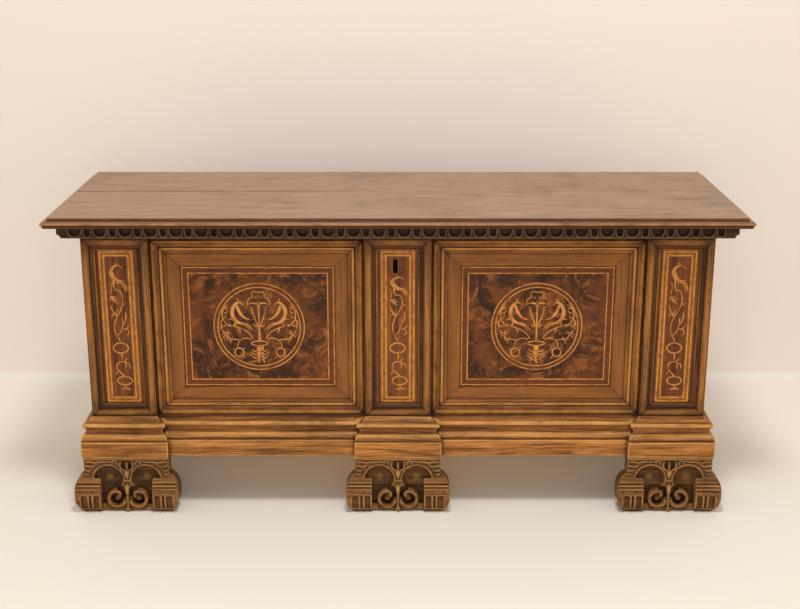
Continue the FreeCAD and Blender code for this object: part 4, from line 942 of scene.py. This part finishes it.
VASE_MIDDLE = (
    ((0, -36, 3.4), (0, -24, 2.8), (0, 0, 2.6), (0, 30, 2.2), (0, 52, 2.4), (0, 59, 4), (0, 62, 2)),
    ((-24, 58, 1), (-13, 60, 2.4), (0, 58, 3), (13, 60, 2.4), (22, 57, 1)),
    ((-18, 82, 1.2), (-13, 88, 1.4), (0, 87, 1.3), (11, 87, 1.4), (15, 81, 1.2)),
)
VASE_MIRRORED = (
    # The bell over the stem
    ((26, 54, 1.6), (26, 63, 1.3), (21, 72, 1.3), (14, 76, 1.4), (17, 83, 1.3)),
    ((8, 72, 1.6), (5, 76, 0.8)),
    # Leaf beside the stem, with its teeth
    ((16, 49, 1), (15, 38, 1.5), (11, 25, 1.9), (6, 10, 2.2), (3, -1, 1.4)),
    ((16, 47, 1), (22, 50, 0.8)),
    ((16, 41, 1.2), (21, 42, 0.8)),
    ((14, 34, 1.2), (20, 34, 0.8)),
    ((12, 28, 1.2), (18, 27, 0.8)),
    ((10, 21, 1.2), (15, 19, 0.8)),
    ((3, 0, 1.6), (9, 2, 1.6), (14, 8, 0.8)),
    # The large leaf, in two lobes
    (
        (37, 55, 0.8), (44, 61, 1.6), (52, 60, 3.4), (60, 51, 5.2), (64, 38, 5.6),
        (62, 25, 5.2), (54, 14, 4.8), (44, 9, 3.6), (34, 8, 2.2), (25, 3, 1.8), (15, -8, 0.8),
    ),
    ((53, 56, 2), (51, 49, 4.2), (47, 38, 4.6), (41, 29, 4), (33, 22, 2.6), (21, 18, 0.8)),
    ((48, 64, 1.6), (51, 72, 0.7)),
    ((63, 20, 2), (73, 19, 0.8)),
    ((42, 6, 1.8), (32, 3, 1.6), (21, -8, 0.8)),
    ((57, 10, 2.4), (60, 4, 2.2), (66, 2, 1.6), (71, 7, 0.9)),
    # The long arm
    (
        (16, -30, 1.3), (22, -20, 1.4), (31, -11, 1.5), (41, -6, 1.5), (51, -1, 1.8), (61, 1, 1.8),
        (72, 3, 1.9), (82, 11, 1.7), (87, 21, 1.7), (88, 33, 1.8), (85, 44, 2.2), (80, 51, 1.6),
        (75, 56, 0.8),
    ),
    ((84, 34, 1.2), (78, 36, 1.8), (75, 41, 0.8)),
    ((82, 46, 1.6), (76, 47, 1.2), (73, 50, 0.7)),
    ((86, 22, 1.2), (80, 25, 1.2), (78, 30, 0.8)),
    ((49, -3, 2.4), (47, -9, 2), (44, -16, 0.8)),
    ((88, 20, 1.4), (93, 9, 2.4), (90, 0, 2), (95, -6, 0.8)),
    ((91, 4, 1.4), (84, 2, 1.6), (79, 5, 0.8)),
    # Tendril with its star of leaves
    ((20, -32, 1.3), (29, -29, 1.4), (39, -30, 1.4), (47, -35, 1.4), (52, -42, 1.4), (54, -52, 1.2)),
    (
        (46, -34, 1.2), (58, -32, 1.3), (68, -31, 1.8), (75, -28, 2.2), (80, -19, 2.4), (86, -12, 1.6),
        (91, -8, 0.8),
    ),
    ((80, -19, 2), (88, -26, 0.9)),
    ((80, -19, 2), (74, -8, 0.9)),
    ((80, -19, 1.6), (70, -15, 0.9)),
    ((84, -14, 1.6), (90, -20, 0.8)),
    ((72, -30, 1.8), (78, -34, 0.8)),
    ((71, -31, 2), (70, -42, 0.9)),
    ((66, -31, 1.4), (64, -25, 0.8)),
    # Flower
    ((62, -54, 1.6), (64, -58, 0.8)),
    ((38, -56, 1.6), (36, -52, 0.8)),
    ((62, -74, 1.8), (65, -78, 0.8)),
    ((40, -76, 1.8), (36, -80, 0.8)),
    # Leaves of the foot
    ((3, -62, 2), (13, -62, 1.8), (19, -57, 0.8)),
    ((4, -72, 2.2), (14, -70, 1.9), (23, -63, 0.8)),
    ((4, -80, 2), (14, -78, 1.7), (24, -70, 0.7)),
)
FOOT_SPLIT = (
    ((-2, -49, 7), (-3, -58, 5.5), (-3, -70, 5.2), (-3, -82, 3.6), (-1, -92, 0.9)),
    ((6, -50, 5), (6, -60, 4.4), (6, -72, 4), (8, -83, 2.8), (11, -92, 0.8)),
)
FOOT_LEAF = (
    ((0, -49, 8), (0, -60, 7), (0, -70, 9), (0, -80, 7.5), (1, -88, 3.4), (3, -93, 0.8)),
    ((-3, -79, 3), (-9, -83, 2), (-14, -86, 0.8)),
    ((3, -79, 3), (10, -83, 2), (14, -86, 0.8)),
)
CANDELABRUM = (
    # Large leaf at the head
    (
        (15, 147, 0.9), (6, 155, 1.6), (-2, 154, 2.6), (-9, 149, 4.4), (-13, 141, 6), (-11, 132, 7.6),
        (-7, 124, 6.4), (0, 119, 3.4), (9, 117, 1.9), (18, 118, 0.8),
    ),
    ((-1, 155, 1.6), (-2, 163, 0.8)),
    ((-7, 120, 4.4), (-9, 108, 2.8), (-7, 99, 1.8), (-5, 92, 1.3)),
    ((-4, 112, 1.6), (4, 113, 2.4), (13, 112, 2.4), (19, 106, 2.2), (22, 97, 1.8), (22, 91, 0.8)),
    ((11, 108, 1.6), (17, 97, 1.6), (18, 90, 0.8)),
    # Branch to the left with its flower
    ((-20, 116, 0.8), (-15, 106, 1), (-15, 96, 1.3), (-17, 86, 1.3)),
    ((-17, 80, 2.2), (-12, 73, 4.6), (-8, 67, 4.4), (-6, 62, 1.8)),
    ((-16, 76, 1.6), (-20, 68, 0.9)),
    ((-11, 76, 1.6), (-4, 79, 0.9)),
    ((-9, 72, 1.8), (-1, 71, 0.9)),
    ((-7, 64, 1.8), (-1, 59, 0.9)),
    # The long stem
    (
        (-6, 94, 1.3), (3, 93, 1.3), (9, 84, 1.4), (11, 70, 1.5), (9, 56, 1.5), (3, 42, 1.4), (-6, 26, 1.4),
        (-12, 10, 1.5), (-13, -4, 1.5), (-9, -21, 1.3),
    ),
    ((9, 55, 1.2), (14, 59, 1.4), (19, 63, 0.9)),
    ((-20, 57, 0.8), (-15, 43, 1.8), (-7, 29, 1.3)),
    ((-3, 49, 0.8), (-5, 40, 1.3), (-7, 31, 1)),
    ((-8, 30, 1), (-15, 33, 1.3), (-18, 25, 0.8)),
    # Stem to the right
    ((-9, -21, 1.2), (1, -12, 1.4), (4, -4, 1.4), (7, 5, 1.4), (13, 16, 1.9), (16, 28, 1.9), (15, 40, 0.9)),
    ((9, 9, 1.2), (7, 18, 1.5), (9, 27, 0.8)),
    ((4, -3, 1), (13, -4, 1.6), (18, -1, 1.5), (23, 6, 1)),
    ((16, -3, 1), (20, -10, 1.5), (19, -17, 1.6), (14, -18, 0.8)),
    ((-8, -22, 1), (-3, -29, 2), (-2, -40, 1.6)),
    # Below the ring
    ((0, -65, 2.6), (1, -73, 2), (0, -82, 1.5)),
    (
        (12, -90, 1), (6, -88, 1.8), (-3, -87, 1.6), (-11, -92, 1.9), (-14, -101, 1.6), (-9, -111, 1.6),
        (-2, -118, 2), (4, -125, 2.2),
    ),
    ((5, -88, 1.6), (9, -83, 1.4), (14, -79, 0.8)),
    ((9, -90, 1.6), (17, -94, 1.8), (18, -106, 0.8)),
    ((7, -90, 1.6), (9, -98, 1.4), (7, -104, 0.8)),
    ((-10, -110, 1), (-15, -116, 1.4), (-16, -121, 0.8)),
    # Foot
    ((5, -147, 2), (6, -154, 1.6)),
    ((-6, -158, 1), (1, -157, 2), (6, -157, 2.4), (12, -157, 2), (18, -159, 1)),
)
# Rings of a stem and of a vase: across, up, half width, half height and half width of the line
STEM_OVALS = ((-1, -52, 18, 12.5, 2), (4, -136, 18, 10.5, 1.8))
VASE_OVALS = ((0, -42, 20, 5.6, 1.6), (-50, -65, 10.5, 11, 1.9), (50, -65, 10.5, 11, 1.9))
# How much of its height over the middle the centre stem keeps, under the keyhole
CENTRE_STEM_SHARE = 0.72
CENTRE_STEM_FROM = 50


def inlay_form(strands, rings, face, centre_across, centre_up):
    """All strands of one ornament as a thin inlay on a field."""
    sizes = bpy.context.scene.cassone_inlay
    form = bmesh.new()

    def laid(across, up, radius):
        return Vector((centre_across + across * MM, face, centre_up + up * MM)), radius * MM + sizes.fuller

    for strand, closed in [(s, False) for s in strands] + [(r, True) for r in rings]:
        add_strand(form, [laid(*point) for point in strand], closed)
    flatten(form, face, sizes.proud, sizes.let_in)
    return form


def flipped(strand):
    return tuple((-x, z, r) for x, z, r in strand)


def under_keyhole(strands):
    """The centre stem, with its head drawn down to leave room for the keyhole."""

    def drawn_down(up):
        return CENTRE_STEM_FROM + (up - CENTRE_STEM_FROM) * CENTRE_STEM_SHARE if up > CENTRE_STEM_FROM else up

    return [tuple((x, drawn_down(z), r) for x, z, r in strand) for strand in strands]


class CASSONE_OT_vases(bpy.types.Operator):
    """Inlay a vase of scrolling leaves in the ring of each panel"""

    bl_idname = "cassone.vases"
    bl_label = "Vases in the panels"

    def execute(self, context):
        material = boxwood()
        for name, _ in SIDES:
            low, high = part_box(f"{name}_panel_board")
            middle = (low + high) / 2
            foot = FOOT_SPLIT if name == "left" else FOOT_LEAF
            strands = [*VASE_MIDDLE, *VASE_MIRRORED, *(flipped(s) for s in VASE_MIRRORED), *foot]
            rings = [oval(*sizes) for sizes in VASE_OVALS]
            form = inlay_form(strands, rings, low.y, middle.x, middle.z)
            new_piece(f"{name}_vase_inlay", form, "case", material)
        return {"FINISHED"}


class CASSONE_OT_candelabra(bpy.types.Operator):
    """Inlay a tall stem of leaves in each pilaster"""

    bl_idname = "cassone.candelabra"
    bl_label = "Stems in the pilasters"

    def execute(self, context):
        material = bpy.data.materials["boxwood inlay"]
        for name in PILASTERS:
            low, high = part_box(f"{name}_pilaster_frame")
            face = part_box(f"{name}_pilaster_board")[0].y
            middle = (low + high) / 2
            rings = [oval(*sizes) for sizes in STEM_OVALS]
            strands = under_keyhole(CANDELABRUM) if name == "centre" else CANDELABRUM
            form = inlay_form(strands, rings, face, middle.x, middle.z)
            new_piece(f"{name}_stem_inlay", form, "case", material)
        return {"FINISHED"}


# The carved strip under the lid: half the thickness of a rim
RIM_HALF = 1.5 * MM


def cup_rim(form, centre, wide, high, along, out):
    """A raised U round one cup. The strip runs along one direction and faces out."""
    half = wide / 2 + RIM_HALF
    turn, bottom = -high * 0.55, -high - 1 * MM
    path = ((-half, 0), (-half, turn), (-half * 0.6, bottom), (half * 0.6, bottom), (half, turn), (half, 0))
    start = centre + out * 0.3 * MM
    points = [(start + along * across + Vector((0, 0, up)), RIM_HALF) for across, up in path]
    add_strand(form, points, sides=1, steps=3)


class CASSONE_OT_strip_rims(bpy.types.Operator):
    """Raise a rim round every cup of the carved strip under the lid"""

    bl_idname = "cassone.strip_rims"
    bl_label = "Rims of the carved strip"

    def execute(self, context):
        sizes = context.scene.cassone_carving
        front_low, front_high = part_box("front_carved_strip")
        half = (front_high.x - front_low.x) / 2
        count = math.floor((2 * half - sizes.cup_wide) / sizes.cup_pitch)
        first = -(count - 0.5) * sizes.cup_pitch / 2
        top = front_high.z - 0.6 * MM
        form = bmesh.new()
        for number in range(count):
            for shift, wide in ((0, sizes.cup_wide), (sizes.cup_pitch / 2, sizes.cup_narrow)):
                centre = Vector((first + number * sizes.cup_pitch + shift, front_low.y, top))
                cup_rim(form, centre, wide, sizes.cup_high, Vector((1, 0, 0)), Vector((0, -1, 0)))
        new_piece("front_strip_rims", form, "lid", timber("rim", "x"))
        for name, side in SIDES:
            low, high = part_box(f"{name}_carved_strip")
            count = math.floor((high.y - front_high.y) / sizes.cup_pitch)
            form = bmesh.new()
            for number in range(count):
                for shift, wide in ((0.5, sizes.cup_wide), (1, sizes.cup_narrow)):
                    deep = front_high.y + (number + shift) * sizes.cup_pitch
                    centre = Vector((high.x if side > 0 else low.x, deep, top))
                    cup_rim(form, centre, wide, sizes.cup_high, Vector((0, side, 0)), Vector((side, 0, 0)))
            new_piece(f"{name}_strip_rims", form, "lid", timber("rim", "y"))
        return {"FINISHED"}


# The carved feet


def ridge(form, centre, deep, points, sides=2, closed=False):
    """A ridge on a foot, through points of across, up, half thickness and, maybe, depth in millimetres."""
    strand = []
    for across, up, thick, *further in points:
        place = Vector((centre + across * MM, deep + sum(further) * MM, up * MM))
        strand.append((place, thick * MM))
    add_strand(form, strand, closed, sides)


def arch(across, up, radius, start, stop, thick, count=7):
    """Points along part of a circle, in degrees from +X, mirrored where its middle lies to the left."""
    side = -1 if across < 0 else 1
    turns = [math.radians(start + (stop - start) * n / (count - 1)) for n in range(count)]
    return [(across + side * radius * math.cos(t), up + radius * math.sin(t), thick) for t in turns]


# Leaves over the dishes, in millimetres: across from the middle of the foot, up and half thickness
SPANDREL_LEAVES = (
    ((24, 121, 1.4), (24, 129, 2.2), (30, 132, 2.4), (35, 127, 2), (31, 124, 1.2)),
    ((36, 131, 1.4), (50, 129, 2.4), (64, 130, 2.2), (76, 127, 3), (90, 130, 2.6), (103, 128, 1.4)),
    ((76, 124, 1), (84, 117, 3), (93, 118, 3.4), (103, 121, 2)),
    ((87, 110, 1), (94, 106, 3), (103, 109, 2)),
    ((92, 98, 1), (97, 96, 2.6), (103, 98, 1.8)),
)
# Ridges on the middle of a foot: how far behind its carved face, and points
MIDDLE_RIDGES = (
    # Petals of the socket
    (4, ((0, 129, 1), (0, 123, 2.2), (0, 114, 3.6), (0, 106, 4))),
    (0, arch(0.01, 121, 16, 150, 390, 2, 11)),
    # The block that tapers from it to the knot
    (-0.6, ((0, 107, 6), (0, 101, 7.4), (0, 92, 5), (0, 85, 3.4))),
    (-1, ((-7, 80, 1.4), (0, 81, 2), (7, 80, 1.4))),
)
KNOT = (0, 75, 3.4, 3.4, 1.2, 6)
KNOT_PROUD = 1.5
# Cusp at the head of the stem, and the fan at its foot
STEM_RIDGES = (
    ((0, 72, 2.4), (0, 67, 5.6), (0, 57, 4.8), (0, 44, 3), (0, 26, 2), (0, 19, 2)),
    ((0, 20, 1.6), (0, 13, 4), (0, 7, 6), (0, 3.6, 6.4)),
)
# The fillet under the plinth: up and half thickness
FILLET = (136, 2.2)
# Rolls over a volute: up, how far behind the front, how much shorter, and half thickness
ROLLS = ((64, 3.8, 2, 2.2), (71, 6.4, 4, 2.4), (79, 11, 8, 2.2))
# A reed from its toe up: up, share of its half thickness, and depth behind REED_BACK
REED = ((14, 0.6, 3), (20, 1, 0), (44, 1, -0.8), (52, 0.6, 0))
REED_BACK = 2.6
# The swell of the sunk ground: how far behind the front, up, and half thickness
SILL = ((30, 10, 7), (25, 6.2, 6), (20, 4.2, 4))
# The eye of a scroll: across from its middle and half thickness, and how far behind the front
SCROLL_EYE = ((-7, 8), (-3, 11), (3, 11), (7, 8))
EYE_BACK = 30


def scroll_path(side, sizes):
    """From the foot of the stem out, up and over, and in again to a ball."""
    across, up, radius = (v / MM for v in (sizes.scroll_across, sizes.scroll_up, sizes.scroll_round))
    outside = arch(side * across, up, radius, -170, 92, 4.4, 13)
    hook = ((5, radius - 2, 4), (8.5, radius - 7, 3.6), (6, radius - 12, 4.8), (4, radius - 13, 3))
    return [*outside, *((side * (across - x), up + z, r) for x, z, r in hook)]


class CASSONE_OT_feet(bpy.types.Operator):
    """Carve rims, scrolls, reeds and leaves on the front feet"""

    bl_idname = "cassone.feet"
    bl_label = "Carving of the feet"

    def execute(self, context):
        sizes = context.scene.cassone_carving
        wood = timber("ridge", "x")
        for name in PILASTERS:
            low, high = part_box(f"{name}_front_foot")
            form = bmesh.new()
            self.carve_middle(form, (low.x + high.x) / 2, low.y, sizes)
            for side in (-1, 1):
                self.carve_side(form, (low.x + high.x) / 2, low.y, side, sizes)
            new_piece(f"{name}_foot_carving", form, "case", wood)
            self.lay_sill(name, (low.x + high.x) / 2, low.y, sizes)
        return {"FINISHED"}

    def lay_sill(self, name, centre, front, sizes):
        """The swell of the sunk ground at the floor, and the eyes of the scrolls."""
        form = bmesh.new()
        inner = sizes.block_inner / MM
        for back, up, thick in SILL:
            ridge(form, centre, front + back * MM, [(-inner, up, thick), (0, up, thick), (inner, up, thick)])
        # The round eye in each scroll
        across, up = sizes.scroll_across / MM, sizes.scroll_up / MM
        for side in (-1, 1):
            eye = [(side * (across + aside), up, thick) for aside, thick in SCROLL_EYE]
            ridge(form, centre, front + EYE_BACK * MM, eye, sides=6)
        new_piece(f"{name}_foot_sill", form, "case", timber("foot", "x"))

    def carve_middle(self, form, centre, front, sizes):
        face = front + sizes.face_back
        scrolls = front + sizes.scroll_back
        for back, points in MIDDLE_RIDGES:
            ridge(form, centre, face + back * MM, points)
        ridge(form, centre, face - KNOT_PROUD * MM, oval(*KNOT), sides=1, closed=True)
        for points in STEM_RIDGES:
            ridge(form, centre, scrolls, points)
        half = sizes.block_half / MM - 1
        ridge(form, centre, face + 1 * MM, [(x, *FILLET) for x in (-half, 0, half)])

    def carve_side(self, form, centre, front, side, sizes):
        face = front + sizes.face_back
        across, up, radius = (v / MM for v in (sizes.dish_across, sizes.dish_up, sizes.dish_round))
        # Rim of a dish
        ridge(form, centre, face + 1 * MM, arch(side * across, up, radius + 0.6, -8, 205, 2.8, 15))
        ridge(form, centre, front + sizes.scroll_back, scroll_path(side, sizes))
        # Rolls over a volute
        inner = sizes.block_inner / MM + 1
        outer = sizes.block_outer / MM
        for height, back, shrink, thick in ROLLS:
            ends = (side * inner, side * (inner + outer) / 2, side * (outer - shrink))
            ridge(form, centre, front + back * MM, [(x, height, thick) for x in ends])
        # Reeds between the flutes, and the toes under them
        for x, thick in ((inner + 1, 2.2), (84, 2.3), (94.5, 2.3), (outer - 12.5, 2)):
            path = [(side * x, z, thick * share, deep) for z, share, deep in REED]
            ridge(form, centre, front + REED_BACK * MM, path)
        # Leaves in the spandrels
        for leaf in SPANDREL_LEAVES:
            ridge(form, centre, face + 0.5 * MM, [(side * x, z, t) for x, z, t in leaf])


# Studio: how far the floor reaches and how high the wall is, in metres
FLOOR_HALF = 9
WALL_HIGH = 6
COVE_STEPS = 8
# Lamps: place, aim, width and length in metres, and colour
LAMPS = (
    ("key", (0.1, -1.3, 3.4), (0, 0, 0.4), 0.7, 0.7, (255, 255, 255)),
    ("fill", (0, -4, 1), (0, 0, 0.4), 1.8, 1.8, (255, 255, 255)),
    # Stands in for the light that the rubbed wood throws on the floor under the chest
    ("bounce", (0, 0, 0.125), (0, 0, 0), 1.25, 0.3, (255, 206, 144)),
)


class CASSONE_OT_studio(bpy.types.Operator):
    """Set the camera, the pale wall and floor, and the soft light"""

    bl_idname = "cassone.studio"
    bl_label = "Studio"

    def execute(self, context):
        sizes = context.scene.cassone_studio
        scene = context.scene
        scene.view_settings.view_transform = "Standard"
        self.place_camera(scene, sizes)
        self.lay_backdrop(sizes)
        self.light(scene, sizes)
        return {"FINISHED"}

    def place_camera(self, scene, sizes):
        data = bpy.data.cameras.new("camera")
        data.sensor_width = 36
        data.lens = sizes.lens
        camera = bpy.data.objects.new("camera", data)
        camera.location = (sizes.camera_across, -sizes.camera_away, sizes.camera_up)
        camera.rotation_euler = (math.pi / 2 - sizes.camera_tilt, 0, 0)
        scene.collection.objects.link(camera)
        scene.camera = camera

    def lay_backdrop(self, sizes):
        """A floor swept up into a wall. The wall lets light and sight through from behind."""
        form = bmesh.new()
        cove = sizes.cove
        path = [(-FLOOR_HALF, 0), (sizes.wall_back - cove, 0)]
        for step in range(1, COVE_STEPS + 1):
            turn = math.pi / 2 * step / COVE_STEPS
            path.append((sizes.wall_back - cove + cove * math.sin(turn), cove - cove * math.cos(turn)))
        path.append((sizes.wall_back, WALL_HIGH))
        start = [form.verts.new((-FLOOR_HALF, deep, up)) for deep, up in path]
        edges = [form.edges.new(pair) for pair in zip(start, start[1:])]
        swept = bmesh.ops.extrude_edge_only(form, edges=edges)
        moved = [item for item in swept["geom"] if isinstance(item, bmesh.types.BMVert)]
        bmesh.ops.translate(form, verts=moved, vec=(2 * FLOOR_HALF, 0, 0))
        backdrop = shown("backdrop", form, self.backdrop_material(sizes))

    def backdrop_material(self, sizes):
        material, graph, sockets, place = new_material("pale backdrop")
        up = graph.split(place)[2]
        cloudy = graph.noise(place, 1.3, 2)
        tint = graph.mix(graph.spread(up, 0.0, sizes.cove), sizes.floor, sizes.wall)
        tint = graph.mix(graph.spread(cloudy, 0.3, 0.7, 0, 0.04), tint, (1, 1, 1))
        graph.feed(sockets["Base Color"], tint)
        sockets["Roughness"].default_value = 0.8
        sockets["Specular IOR Level"].default_value = 0.1
        behind = graph.add("ShaderNodeNewGeometry").outputs["Backfacing"]
        clear = graph.add("ShaderNodeBsdfTransparent")
        choose = graph.add("ShaderNodeMixShader")
        surface = graph.tree.nodes["Principled BSDF"].outputs[0]
        graph.feed(choose.inputs[0], behind)
        graph.feed(choose.inputs[1], surface)
        graph.feed(choose.inputs[2], clear.outputs[0])
        graph.feed(graph.tree.nodes["Material Output"].inputs["Surface"], choose.outputs[0])
        return material

    def light(self, scene, sizes):
        world = bpy.data.worlds.new("room")
        world.use_nodes = True
        graph = Graph(world.node_tree)
        background = world.node_tree.nodes["Background"]
        seen = graph.add("ShaderNodeLightPath").outputs["Is Camera Ray"]
        graph.feed(background.inputs["Color"], graph.mix(seen, (1, 1, 1), sizes.wall))
        graph.feed(background.inputs["Strength"], graph.spread(seen, 0, 1, sizes.sky, 1))
        scene.world = world
        for name, place, aim, wide, long, tint in LAMPS:
            data = bpy.data.lights.new(f"{name} lamp", "AREA")
            data.shape = "ELLIPSE"
            data.size, data.size_y = wide, long
            data.energy = getattr(sizes, name)
            data.color = tone(*tint)
            lamp = bpy.data.objects.new(f"{name} lamp", data)
            lamp.location = place
            lamp.rotation_euler = (Vector(aim) - Vector(place)).to_track_quat("-Z", "Y").to_euler()
            scene.collection.objects.link(lamp)


STEPS = (
    CASSONE_OT_timbers,
    CASSONE_OT_vases,
    CASSONE_OT_candelabra,
    CASSONE_OT_strip_rims,
    CASSONE_OT_feet,
    CASSONE_OT_studio,
)


class CASSONE_PT_pieces(bpy.types.Panel):
    """The cassone's pieces, in the order in which they are made"""

    bl_label = "Cassone"
    bl_idname = "CASSONE_PT_pieces"
    bl_space_type = "VIEW_3D"
    bl_region_type = "UI"
    bl_category = "Cassone"

    def draw(self, context):
        for step in STEPS:
            self.layout.operator(step.bl_idname)


HELD = (
    ("cassone_timber", TimberColours),
    ("cassone_age", AgeSizes),
    ("cassone_inlay", InlaySizes),
    ("cassone_carving", CarvingSizes),
    ("cassone_studio", StudioSizes),
)


def kinds():
    return [*(kind for _, kind in HELD), *STEPS, CASSONE_PT_pieces]


def register():
    for kind in kinds():
        bpy.utils.register_class(kind)
    for name, kind in HELD:
        setattr(bpy.types.Scene, name, PointerProperty(type=kind))


def unregister():
    for name, _ in HELD:
        delattr(bpy.types.Scene, name)
    for kind in reversed(kinds()):
        bpy.utils.unregister_class(kind)


def main():
    register()
    for step in STEPS:
        family, name = step.bl_idname.split(".")
        getattr(getattr(bpy.ops, family), name)()


if __name__ == "__main__":
    main()
